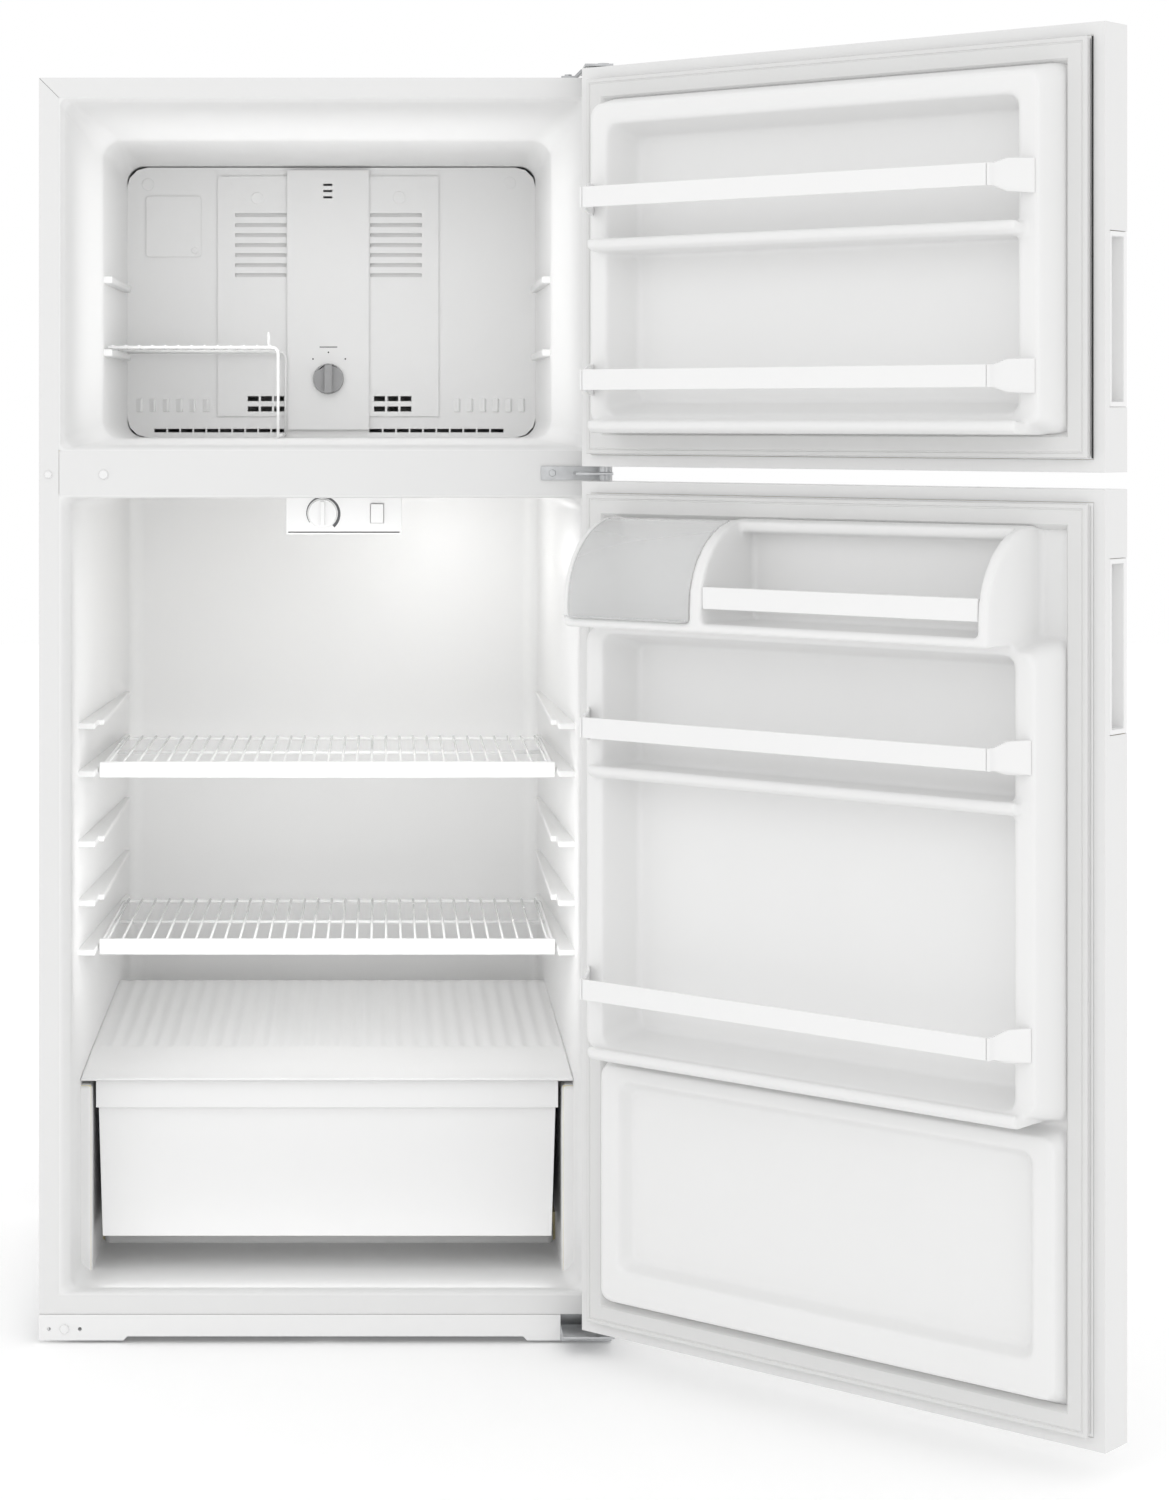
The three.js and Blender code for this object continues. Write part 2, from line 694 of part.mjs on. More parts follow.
function fanMotor() {
  return join(
    rod([fanX, fanFront + 22, fanZ], [fanX, fanFront + 52, fanZ], 24, 16),
    rod([fanX, fanFront + 4, fanZ], [fanX, fanFront + 23, fanZ], 2, 8),
    box(fanX - 58, fanX + 58, fanFront + 44, fanFront + 50, fanZ - 6, fanZ + 6),
    box(fanX - 58, fanX - 54, coverY + 3 + clear, fanFront + 50, fanZ - 6, fanZ + 6),
    box(fanX + 54, fanX + 58, coverY + 3 + clear, fanFront + 50, fanZ - 6, fanZ + 6),
  );
}

// a fan about a Y axis through (x, z), with pitched blades between its hub and its tip radius
function fanBlade(x, y, z, tip, blades, boreRadius) {
  const depth = 12;
  const solids = [rod([0, 0, 0], [0, depth, 0], 12, 16)];
  for (let i = 0; i < blades; i += 1) {
    const blade = new THREE.BoxGeometry(tip - 8, 1.6, 22);
    blade.translate((tip + 8) / 2, 0, 0);
    blade.rotateX(0.45);
    blade.rotateY((i * 2 * Math.PI) / blades);
    blade.translate(0, depth / 2, 0);
    solids.push(toSolid(blade));
  }
  const fan = join(...solids).subtract(rod([0, -5, 0], [0, depth + 5, 0], boreRadius, 8));
  return fan.translate([x, y, z]);
}

function freezerKnob() {
  const face = columnFace - clear;
  return join(
    rod([knobX, face, knobZ], [knobX, face - 8, knobZ], knobRadius, 24, knobRadius - 1),
    box(knobX - 5, knobX + 5, face - 18, face - 7, knobZ - knobRadius + 2, knobZ + knobRadius - 2),
    rod([knobX, face - 1, knobZ], [knobX, coverY + 6, knobZ], 3, 10),
  );
}

const gridLeft = -freezerBackHalf + 1;
const gridRight = gridLeft + freezerShelfWidth;
const gridFront = freezerFlare + 14;
const gridBack = coverY - 12;
const slim = 0.4; // wires are this much slimmer than the rods that they meet

function freezerShelf() {
  const z = freezerShelfZ;
  const s = wireSize;
  const solids = [];
  for (const y of [gridFront, (gridFront + gridBack) / 2, gridBack - s]) {
    solids.push(box(gridLeft, gridRight, y, y + s, z - s, z));
  }
  const wires = 12;
  for (let i = 0; i <= wires; i += 1) {
    const x = gridLeft + slim + ((gridRight - gridLeft - s - slim) * i) / wires;
    solids.push(box(x, x + s - slim, gridFront + slim, gridBack - slim, z - s + slim, z - slim));
  }
  return join(...solids);
}

// the frame of two legs and a foot rail that holds up the free side of the wire shelf
function freezerShelfLegs() {
  const s = wireSize;
  const top = freezerShelfZ - s - clear;
  const solids = [box(gridRight - s, gridRight, gridFront, gridBack, freezerFloor + 3, freezerFloor + 3 + s)];
  for (const y of [gridFront + slim, gridBack - s]) {
    solids.push(box(gridRight - s + slim, gridRight - slim, y, y + s - slim, freezerFloor + 1, top));
  }
  return join(...solids);
}

// ---------------------------------------------------------------- fresh food fittings
const housingBottom = fridgeCeiling - housingHeight;
const dialZ = housingBottom + 27;
const switchX = 63;
const housingBack = housingFront + housingDepth;

function controlHousing() {
  const wall = 2.5;
  const top = fridgeCeiling - clear;
  const outline = [
    [housingFront, housingBottom + 6], [housingFront + 6, housingBottom], [housingBack, housingBottom],
    [housingBack, top], [housingFront, top],
  ];
  const outer = alongX(outline, housingLeft, housingRight);
  const inner = box(
    housingLeft + wall, housingRight - wall, housingFront + wall, housingBack - wall,
    housingBottom + wall, top + 10,
  );
  return outer
    .subtract(inner)
    .subtract(rod([dialX, housingFront - 5, dialZ], [dialX, housingFront + 5, dialZ], 3 + play))
    .subtract(box(switchX - 8 - play, switchX + 8 + play, housingFront - 5, housingFront + 5,
      dialZ - 12 - play, dialZ + 12 + play));
}

function temperatureDial() {
  const face = housingFront - clear;
  return join(
    rod([dialX, face, dialZ], [dialX, face - 3, dialZ], dialRadius, 28, dialRadius - 0.6),
    box(dialX - 2.5, dialX + 2.5, face - 6.5, face - 2, dialZ - dialRadius + 3, dialZ + dialRadius - 3),
    rod([dialX, face - 1, dialZ], [dialX, housingFront + 8, dialZ], 3, 10),
  );
}

function doorSwitch() {
  return join(
    box(switchX - 8, switchX + 8, housingFront - 4, housingFront + 5, dialZ - 12, dialZ + 12),
    box(switchX - 5, switchX + 5, housingFront + 4, housingFront + 14, dialZ - 6, dialZ + 6),
  );
}

const lampX = 20;
const lampZ = fridgeCeiling - 24;

function lampSocket() {
  const y = housingBack + clear;
  return join(
    box(lampX - 18, lampX + 18, y, y + 10, lampZ - 18, fridgeCeiling - clear),
    rod([lampX, y + 9, lampZ], [lampX, y + 22, lampZ], 13, 16),
  );
}

function lampBulb() {
  const start = housingBack + clear + 22 + clear;
  const profile = [[0, 0], [9, 0], [9, 8], [14, 18], [19, 30], [19, 40], [14, 50], [7, 56], [0, 58]];
  const geometry = new THREE.LatheGeometry(profile.map(([r, y]) => new THREE.Vector2(r, y)), 14);
  geometry.translate(0, start, 0);
  geometry.translate(lampX, 0, lampZ);
  return toSolid(geometry);
}

function shelfWires(height) {
  const s = wireSize;
  const d = shelfRodSize;
  const [front, back] = [shelfFront + shelfTrimDepth + clear, shelfBack];
  const solids = [];
  for (let i = 0; i < shelfWireCount; i += 1) {
    const x = -shelfHalf + d + ((2 * shelfHalf - 2 * d - s) * i) / (shelfWireCount - 1);
    solids.push(box(x, x + s, front, back, height - s, height));
  }
  for (const y of [front, back - d]) {
    solids.push(box(-shelfHalf, shelfHalf, y, y + d, height - d, height));
  }
  for (const side of [-1, 1]) {
    const x = side * (shelfHalf - d / 2);
    solids.push(box(x - d / 2, x + d / 2, front, back, height - d, height));
  }
  return join(...solids);
}

function shelfTrim(height) {
  const outline = [
    [shelfFront, height - shelfTrimHeight + 2], [shelfFront + 1.5, height - shelfTrimHeight],
    [shelfFront + shelfTrimDepth, height - shelfTrimHeight], [shelfFront + shelfTrimDepth, height + 2],
    [shelfFront + 1.5, height + 2], [shelfFront, height],
  ];
  return alongX(outline, -shelfHalf, shelfHalf);
}

const coverFrontY = drawerFront - 10;
const coverBendY = drawerFront + 100;
const coverBackY = stepY + 35;

function crisperCover() {
  const t = crisperCoverThickness;
  const bend = crisperCoverFrontHeight + 18;
  const sides = (y, low, high) => {
    const edge = fridgeSideAt(y) - 1;
    return { y, points: [[edge, high], [-edge, high], [-edge, low], [edge, low]] };
  };
  const sheetBody = loft([
    sides(coverFrontY, crisperCoverFrontHeight - t, crisperCoverFrontHeight),
    sides(coverBendY, bend - t, bend),
    sides(coverBackY, crisperCoverBackHeight - t, crisperCoverBackHeight),
  ]);
  const lip = box(
    -fridgeSideAt(coverFrontY) + 1, fridgeSideAt(coverFrontY) - 1, coverFrontY, coverFrontY + 3,
    crisperCoverFrontHeight - 3.4, crisperCoverFrontHeight - 1,
  );
  return sheetBody.add(lip);
}

const drawerBack = stepY - 12;
const drawerHalf = padHalf - 5;

function crisperDrawer() {
  const lipBottom = drawerTop - drawerLipHeight;
  const taper = 7;
  const tub = (margin, low, high) => {
    const rise = (halfWidth, y0, y1, z) => ({ halfWidth, y0, y1, z });
    const front = drawerFront + 2 + margin;
    const bottom = rise(drawerHalf - taper - margin, front, drawerBack - taper - margin, low);
    const top = rise(drawerHalf - 1 - margin, front, drawerBack - margin, high);
    const ring = ({ halfWidth, y0, y1 }) => [
      [-halfWidth, y0], [halfWidth, y0], [halfWidth, y1], [-halfWidth, y1],
    ];
    // the loft runs along Y, so the rings are laid flat, lofted, and stood up again
    const flat = loft([{ y: bottom.z, points: ring(bottom) }, { y: top.z, points: ring(top) }]);
    return flat.transform([1, 0, 0, 0, 0, 0, 1, 0, 0, 1, 0, 0, 0, 0, 0, 1]);
  };
  const space = tub(drawerWall, drawerBottom + drawerWall, drawerTop + 10);
  const shell = tub(0, drawerBottom, drawerTop).subtract(space);
  const lip = box(-drawerHalf - 1, drawerHalf + 1, drawerFront - 3, drawerFront + 5, lipBottom, drawerTop);
  const rear = box(
    -drawerHalf + 2, drawerHalf - 2, drawerBack - 3, drawerBack - 0.5, drawerTop - 9, drawerTop - 4,
  );
  return join(shell, lip, rear);
}

// ---------------------------------------------------------------- machine compartment
const machineMiddle = machineFront + machineDepth / 2;
const compressorX = half - 130;
const machineFloor = underside + clear;

function compressorShell() {
  const r = compressorRadius;
  const h = compressorHeight;
  const wall = 3;
  const outer = [[0, 14], [r - 14, 14], [r, 30], [r, h - 34], [r - 12, h - 10], [r - 34, h], [0, h]];
  const inner = [[0, 14 + wall], [r - 15, 14 + wall], [r - wall, 31], [r - wall, h - 35], [r - 14, h - 13],
    [r - 35, h - wall], [0, h - wall]];
  const lathe = (points) => {
    const geometry = new THREE.LatheGeometry(points.map(([x, y]) => new THREE.Vector2(x, y)), 20);
    geometry.rotateX(Math.PI / 2);
    geometry.translate(compressorX, machineMiddle, machineFloor);
    return toSolid(geometry);
  };
  const upright = (low, high, radius, sides) => rod(
    [compressorX, machineMiddle, machineFloor + low], [compressorX, machineMiddle, machineFloor + high],
    radius, sides,
  );
  const feet = box(
    compressorX - r - 8, compressorX + r + 8, machineMiddle - 40, machineMiddle + 40,
    machineFloor, machineFloor + 3,
  );
  const stand = upright(2, 15, 30, 12);
  const port = upright(h - 20, h + 10, 8, 10);
  return join(lathe(outer), feet, stand).subtract(lathe(inner)).subtract(port);
}

function compressorMotor() {
  const [x, y, z] = [compressorX, machineMiddle, machineFloor + 14 + 3 + clear];
  return join(
    rod([x, y, z], [x, y, z + 22], 40, 16),
    rod([x, y, z + 21], [x, y, z + 92], 46, 18),
    rod([x, y, z + 91], [x, y, z + 112], 26, 12),
  );
}

const panLeft = -half + 20;
const panRight = -half + 245;

function drainPan() {
  const outer = box(panLeft, panRight, machineFront + 8, cabinetDepth - 14, machineFloor, machineFloor + 26);
  const inner = box(
    panLeft + 2, panRight - 2, machineFront + 10, cabinetDepth - 16, machineFloor + 2, machineFloor + 30,
  );
  return outer.subtract(inner);
}

function condenserCoil() {
  const r = 3.2;
  const [x0, x1] = [panLeft + 14, panRight - 14];
  const [z0, rows, pitch] = [machineFloor + 32, 6, 26];
  const solids = [];
  const levels = [machineFront + 26, machineMiddle + 2];
  for (const y of levels) {
    for (let row = 0; row < rows; row += 1) {
      solids.push(box(x0, x1, y - r, y + r, z0 + row * pitch - r, z0 + row * pitch + r));
      if (row + 1 === rows) continue;
      const x = row % 2 === 0 ? x1 : x0;
      solids.push(box(x - r, x + r, y - r, y + r, z0 + row * pitch - r, z0 + (row + 1) * pitch + r));
    }
  }
  solids.push(box(x0 - r, x0 + r, levels[0] - r, levels[1] + r, z0 - r, z0 + r));
  for (const x of [x0 + 20, x1 - 20]) {
    solids.push(box(x - 1, x + 1, levels[0], levels[1], z0 - 6 + 0.5, z0 + (rows - 1) * pitch + 6));
  }
  return join(...solids);
}

const condenserFanX = -60;
const condenserFanZ = machineFloor + 95;

function condenserFanMotor() {
  const y = machineMiddle + 12;
  return join(
    rod([condenserFanX, y, condenserFanZ], [condenserFanX, y + 34, condenserFanZ], 26, 16),
    rod([condenserFanX, y - 18, condenserFanZ], [condenserFanX, y + 1, condenserFanZ], 2, 8),
    box(condenserFanX - 8, condenserFanX + 8, y + 12, y + 18, machineFloor, condenserFanZ),
    box(condenserFanX - 30, condenserFanX + 30, y - 4, y + 34, machineFloor, machineFloor + 3),
  );
}

function rearAccessCover() {
  const edge = half - sheet - clear;
  const [z0, z1] = [underside + clear, machineTop - clear];
  const cover = box(-edge, edge, cabinetDepth - accessCoverThickness - clear, cabinetDepth - clear, z0, z1);
  const slots = [];
  for (let row = 0; row < 3; row += 1) {
    const z = z0 + 60 + row * 45;
    for (let column = 0; column < 4; column += 1) {
      const x = panLeft + 10 + column * 62;
      slots.push(box(x, x + 45, cabinetDepth - 20, cabinetDepth + 10, z, z + 8));
    }
  }
  slots.push(rod([half - 40, cabinetDepth - 20, z0 + 30], [half - 40, cabinetDepth + 20, z0 + 30], 9, 12));
  return cover.subtract(join(...slots));
}

// ---------------------------------------------------------------- doors
// Door pieces are modelled with the door shut. "reach" is the distance from the door's inner face
// into the cabinet, so a point at a given reach has y = innerFaceY + reach.
const atReach = (reach) => innerFaceY + reach;

// a block that narrows from its base to its top, with round corners, inset by a margin
function mound(edges, baseInset, topInset, height, radius, margin, floorReach = -8) {
  const ring = (reach, insetBy) => ({
    y: atReach(reach),
    points: roundedRectangle(
      -doorHalf + insetBy + margin, doorHalf - insetBy - margin,
      edges.low + insetBy + margin, edges.high - insetBy - margin, radius, 3,
    ),
  });
  const slope = (topInset - baseInset) / height;
  return loft([
    ring(floorReach, baseInset + slope * Math.min(floorReach, 0)),
    ring(0, baseInset),
    ring(height - margin, topInset - slope * margin),
  ]);
}

// a space inside a raised frame, narrowing towards the door, grown by a margin
function hollow(edges, rimInset, draft, rimReach, floorReach, radius, margin) {
  const ring = (reach, insetBy) => ({
    y: atReach(reach),
    points: roundedRectangle(
      -doorHalf + insetBy - margin, doorHalf - insetBy + margin,
      edges.low + insetBy - margin, edges.high - insetBy + margin,
      radius, 3,
    ),
  });
  const slope = draft / (rimReach - floorReach);
  return loft([
    ring(floorReach - margin, rimInset + draft),
    ring(rimReach + 30, rimInset - slope * 30),
  ]);
}

function ledge(bottom, margin) {
  const top = bottom + ledgeThickness;
  const outline = [
    [atReach(0), bottom - 3], [atReach(ledgeReach - 8), bottom - 2], [atReach(ledgeReach), bottom + 4],
    [atReach(ledgeReach), top - 3], [atReach(ledgeReach - 4), top], [atReach(ledgeReach - 10), top - 2],
    [atReach(0), top - 4],
  ];
  const end = doorHalf - ledgeSideGap - margin;
  const shape = inset(outline, margin);
  return alongX(shape, -end, end).add(alongX([
    [atReach(-6), bottom - 3 + margin], [atReach(recessDepth), bottom - 3 + margin],
    [atReach(recessDepth), top - 4 - margin], [atReach(-6), top - 4 - margin],
  ], -end, end));
}

function linerBase(door, margin) {
  const edge = doorHem + clear;
  return box(
    -doorHalf + edge - margin, doorHalf - edge + margin, atReach(-9), atReach(-margin),
    door.bottom + edge - margin, door.top - edge + margin,
  );
}

function freezerRelief(margin) {
  const edges = { low: freezerDoor.bottom, high: freezerDoor.top };
  const raised = mound(edges, dikeBaseInset, dikeTopInset, freezerDoor.dike, 14, margin);
  const pocket = hollow(
    { low: freezerDoor.bottom - 13, high: freezerDoor.top },
    dikeTopInset + dikeBand, dikeDraft, freezerDoor.dike, recessDepth, 12, margin,
  );
  return join(
    linerBase(freezerDoor, margin),
    raised.subtract(pocket),
    ledge(freezerLowerLedge, margin),
    ledge(freezerUpperLedge, margin),
  );
}

// the profile of the rack and dairy block, as [y, z]: a foot, an upright front and a quarter round
function blockOutline() {
  const centreZ = blockTop - blockArcRadius;
  const points = [[atReach(0), blockBottom], [atReach(blockArcFoot + blockArcRadius), blockBottom]];
  const steps = 8;
  for (let i = 0; i <= steps; i += 1) {
    const angle = (i / steps) * (Math.PI / 2);
    points.push([
      atReach(blockArcFoot + blockArcRadius * Math.cos(angle)), centreZ + blockArcRadius * Math.sin(angle),
    ]);
  }
  points.push([atReach(0), blockTop]);
  return points;
}
const blockRight = doorHalf - blockHingeInset;
const blockLeft = -doorHalf + blockFreeInset;
const dairyRight = blockRight - blockWall;
const dairyLeft = dairyRight - dairyWidth;
const rackRight = dairyLeft - postWidth;
const rackLeft = blockLeft + blockWall + 6;

function rackBlock(margin) {
  const body = alongX(inset(blockOutline(), margin), blockLeft + margin, blockRight - margin);
  const root = box(
    blockLeft + margin, blockRight - margin, atReach(-6), atReach(margin + 2), blockBottom + margin,
    blockTop - margin,
  );
  const floor = blockBottom + blockFloorThickness;
  const far = blockArcFoot + blockArcRadius + 20;
  const dairy = box(
    dairyLeft - margin, dairyRight + margin, atReach(blockBackWall - margin), atReach(far),
    floor - margin, blockTop + 20,
  );
  const rackLow = box(
    rackLeft - margin, rackRight + margin, atReach(blockBackWall - margin), atReach(far),
    floor - margin, blockTop - rackStepDrop + margin,
  );
  const rackHigh = box(
    rackLeft - margin, rackRight + margin, atReach(rackStepReach - margin), atReach(far),
    floor - margin, blockTop + 20,
  );
  return join(body, root).subtract(join(dairy, rackLow, rackHigh));
}

function fridgeRelief(margin) {
  const frameEdges = { low: panelTop - 32, high: blockBottom + 46 };
  const raised = mound(frameEdges, dikeBaseInset, dikeTopInset, fridgeDoor.dike, 14, margin);
  const pocket = hollow(
    { low: panelTop - 52, high: blockBottom + 66 },
    dikeTopInset + dikeBand, dikeDraft, fridgeDoor.dike, recessDepth, 12, margin,
  );
  const panelEdges = { low: fridgeDoor.bottom + 4, high: panelTop + 40 };
  const panel = mound(panelEdges, dikeBaseInset, dikeBaseInset + 8, lowerPanelHeight, 14, margin);
  const panelSpace = hollow(
    { low: fridgeDoor.bottom + 16, high: panelTop + 50 },
    dikeBaseInset + 34, 10, lowerPanelHeight, recessDepth + 5, 12, margin,
  );
  return join(
    linerBase(fridgeDoor, margin),
    panel.subtract(panelSpace),
    raised.subtract(pocket),
    ledge(fridgeLowerLedge, margin),
    ledge(fridgeUpperLedge, margin),
    rackBlock(margin),
  );
}

function pinHole(z0, z1) {
  return rod([pinX, pinY, z0], [pinX, pinY, z1], pinRadius + play, 16);
}

function handleMiddle(door) {
  return door === freezerDoor ? door.bottom + freezerHandleRise : door.top - fridgeHandleDrop;
}

function handlePocket(door, grow) {
  const z = handleMiddle(door);
  return box(
    -doorHalf - 10, -doorHalf + handleDepth + grow, outerFaceY - 10, innerFaceY - handleFromInnerFace + grow,
    z - handleHeight / 2 - grow, z + handleHeight / 2 + grow,
  );
}

function doorPinHoles(door) {
  return pinHole(door.bottom - 5, door.bottom + pinReach).add(pinHole(door.top - pinReach, door.top + 5));
}

function doorPanel(door) {
  const outer = box(-doorHalf, doorHalf, outerFaceY, innerFaceY, door.bottom, door.top);
  const inner = box(
    -doorHalf + sheet, doorHalf - sheet, outerFaceY + sheet, innerFaceY - sheet, door.bottom + sheet,
    door.top - sheet,
  );
  const opening = box(
    -doorHalf + doorHem, doorHalf - doorHem, innerFaceY - 5, innerFaceY + 5, door.bottom + doorHem,
    door.top - doorHem,
  );
  return outer
    .subtract(inner)
    .subtract(opening)
    .subtract(handlePocket(door, 0))
    .subtract(doorPinHoles(door));
}

function doorFoam(door, relief) {
  const gap = sheet + clear;
  const margin = linerWall + clear;
  const slab = box(
    -doorHalf + gap, doorHalf - gap, outerFaceY + gap, atReach(-margin), door.bottom + gap, door.top - gap,
  );
  const raised = relief(margin).intersect(box(
    -doorHalf + doorHem + 4, doorHalf - doorHem - 4, atReach(-6), atReach(200), door.bottom, door.top,
  ));
  return slab.add(raised).subtract(handlePocket(door, clear)).subtract(doorPinHoles(door));
}

function doorLiner(relief) {
  return relief(0).subtract(relief(linerWall));
}

function doorGasket(door) {
  const low = door.bottom + doorHem + 1;
  const high = door.top - doorHem - 1;
  const edge = doorHalf - doorHem - 1;
  const frame = (grow) => roundedRectangle(-edge + grow, edge - grow, low + grow, high - grow, 3, 2);
  const [y0, y1] = [innerFaceY + clear, -gasketSqueeze];
  const step = 6;
  const ring = (y, grow) => ({ y, points: frame(grow) });
  const outer = loft([ring(y0, 0), ring(y0 + step, 2.5), ring(y1, 0)]);
  const inner = loft([ring(y0 - 5, gasketWidth), ring(y1 + 5, gasketWidth)]);
  return outer.subtract(inner);
}

function doorHandle(door) {
  const z = handleMiddle(door);
  const [z0, z1] = [z - handleHeight / 2 + clear, z + handleHeight / 2 - clear];
  const [y0, y1] = [outerFaceY, innerFaceY - handleFromInnerFace - clear];
  const outer = box(-doorHalf, -doorHalf + handleDepth - clear, y0, y1, z0, z1);
  const scoop = box(-doorHalf - 10, -doorHalf + handleDepth - 4, y0 + 7, y1 - 5, z0 + 6, z1 - 6);
  return outer.subtract(scoop);
}

// a bar across a bin, with an end bracket on each side that reaches back to the raised frame
function trimBar(door, bottom) {
  const foot = door.dike + clear;
  const reach = trimReach;
  const tip = doorHalf - trimEndInset;
  const heel = doorHalf - dikeTopInset - 3;
  const w = trimWall;
  const outline = [
    [-heel, foot], [-heel + w, foot], [-tip + w, reach - w], [tip - w, reach - w], [heel - w, foot],
    [heel, foot], [tip, reach], [-tip, reach],
  ];
  return alongZ(outline.map(([x, r]) => [x, atReach(r)]), bottom, bottom + trimHeight);
}

function rackTrim() {
  return box(
    rackLeft + clear, rackRight - clear, atReach(blockArcFoot + blockArcRadius - 10),
    atReach(blockArcFoot + blockArcRadius - 4), blockBottom + rackTrimRise,
    blockBottom + rackTrimRise + trimHeight,
  );
}

// the dairy cover: upright at the front, then a quarter round up to its pivot
function dairyCover() {
  const centreZ = blockTop - blockArcRadius;
  const arc = (radius, from, to, steps) => {
    const points = [];
    for (let i = 0; i <= steps; i += 1) {
      const angle = from + ((to - from) * i) / steps;
      points.push([atReach(blockArcFoot + radius * Math.cos(angle)), centreZ + radius * Math.sin(angle)]);
    }
    return points;
  };
  const lastAngle = (80 * Math.PI) / 180;
  const outerRadius = blockArcRadius;
  const innerRadius = blockArcRadius - dairyCoverThickness;
  const bottom = blockBottom + blockFloorThickness + clear;
  const outline = [
    [atReach(blockArcFoot + innerRadius), bottom],
    [atReach(blockArcFoot + outerRadius), bottom],
    ...arc(outerRadius, 0, lastAngle, 8),
    ...arc(innerRadius, lastAngle, 0, 8),
  ];
  const [x0, x1] = [dairyLeft + play, dairyRight - play];
  const lip = box(
    x0, x1, atReach(blockArcFoot + innerRadius), atReach(blockArcFoot + outerRadius + 9),
    bottom, bottom + dairyCoverThickness,
  );
  return alongX(outline, x0, x1).add(lip);
}

function buildDoor(door, relief) {
  const hinged = new THREE.Group();
  hinged.position.set(pinX, pinY, 0);
  hinged.rotation.z = THREE.MathUtils.degToRad(doorOpening);
  const shut = new THREE.Group();
  shut.position.set(-pinX, -pinY, 0);
  hinged.add(shut);
  object.add(hinged);
  part(`${door.name}_panel`, doorPanel(door), paintedSteel, shut);
  part(`${door.name}_foam`, doorFoam(door, relief), foam, shut);
  part(`${door.name}_liner`, doorLiner(relief), linerPlastic, shut);
  part(`${door.name}_gasket`, doorGasket(door), rubber, shut);
  part(`${door.name}_handle`, doorHandle(door), trimPlastic, shut);
  return shut;
}

// ---------------------------------------------------------------- assembly
part('cabinet_wrapper', cabinetWrapper(), paintedSteel);
part('back_panel', backPanel(), paintedSteel);
part('insulation_foam', insulationFoam(), foam);
part('freezer_liner', freezerLiner(), linerPlastic);
part('fridge_liner', fridgeLiner(), linerPlastic);
part('centre_rail', centreRail(), paintedSteel);
part('base_frame', baseFrame(), zincSteel);
part('base_grille', baseGrille(), trimPlastic);
for (const [side, word] of [[-1, 'left'], [1, 'right']]) {
  part(`levelling_leg_${word}`, levellingLeg(side), zincSteel);
  part(`rear_roller_${word}`, roller(side), blackRubber);
}
part('top_hinge', topHinge(), zincSteel);
part('centre_hinge', centreHinge(), zincSteel);
part('bottom_hinge', bottomHinge(), zincSteel);
part('rail_plug', plug(-half + 79.5, railBottom + 26, -clear, 6), trimPlastic);
part('flange_plug', plug(-half + 11.5, railBottom + 26, -clear, 5), trimPlastic);
part('grille_plug', plug(-half + 31.5, 17, -1.5 - clear, 6), trimPlastic);

part('evaporator_cover', evaporatorCover(), linerPlastic);
part('fill_cover', fillCover(), linerPlastic);
part('evaporator_coil', evaporatorCoil(), aluminium);
part('evaporator_fan_motor', fanMotor(), darkPlastic);
part('evaporator_fan_blade', fanBlade(fanX, fanFront + 7, fanZ, 44, 5, 2 + play), trimPlastic);
part('freezer_control_knob', freezerKnob(), greyPlastic);
part('freezer_wire_shelf', freezerShelf(), coatedWire);
part('freezer_shelf_legs', freezerShelfLegs(), coatedWire);

part('control_housing', controlHousing(), trimPlastic);
part('temperature_dial', temperatureDial(), trimPlastic);
part('door_switch', doorSwitch(), trimPlastic);
part('lamp_socket', lampSocket(), trimPlastic);
part('lamp_bulb', lampBulb(), glass);
for (const [word, height] of [['upper', upperShelfHeight], ['lower', lowerShelfHeight]]) {
  part(`${word}_shelf_wires`, shelfWires(height), coatedWire);
  part(`${word}_shelf_trim`, shelfTrim(height), trimPlastic);
}
part('crisper_cover', crisperCover(), trimPlastic);
part('crisper_drawer', crisperDrawer(), trimPlastic);

part('compressor_shell', compressorShell(), blackPaint);
part('compressor_motor', compressorMotor(), darkPlastic);
part('condenser_coil', condenserCoil(), copper);
part('condenser_fan_motor', condenserFanMotor(), darkPlastic);
const condenserFan = fanBlade(condenserFanX, machineMiddle - 8, condenserFanZ, 55, 5, 2 + play);
part('condenser_fan_blade', condenserFan, trimPlastic);
part('drain_pan', drainPan(), darkPlastic);
part('rear_access_cover', rearAccessCover(), board);

const freezerDoorGroup = buildDoor(freezerDoor, freezerRelief);
const fridgeDoorGroup = buildDoor(fridgeDoor, fridgeRelief);
const barsOverLedges = [
  ['freezer_upper_trim', freezerDoor, freezerDoorGroup, freezerUpperLedge, 0],
  ['freezer_lower_trim', freezerDoor, freezerDoorGroup, freezerLowerLedge, 0],
  ['fridge_upper_trim', fridgeDoor, fridgeDoorGroup, fridgeUpperLedge, 0],
  ['fridge_lower_trim', fridgeDoor, fridgeDoorGroup, fridgeLowerLedge, lowestTrimExtraRise],
];
for (const [name, door, group, ledgeBottom, extraRise] of barsOverLedges) {
  const bottom = ledgeBottom + ledgeThickness + trimAboveLedge + extraRise;
  part(name, trimBar(door, bottom), trimPlastic, group);
}
part('fridge_rack_trim', rackTrim(), trimPlastic, fridgeDoorGroup);
part('dairy_door', dairyCover(), clearPlastic, fridgeDoorGroup);

// the origin goes under the middle of the overall box, on the floor
const extent = new THREE.Box3().setFromObject(object, true);
const middle = extent.getCenter(new THREE.Vector3());
object.position.set(-middle.x, -middle.y, -extent.min.z);

export default object;
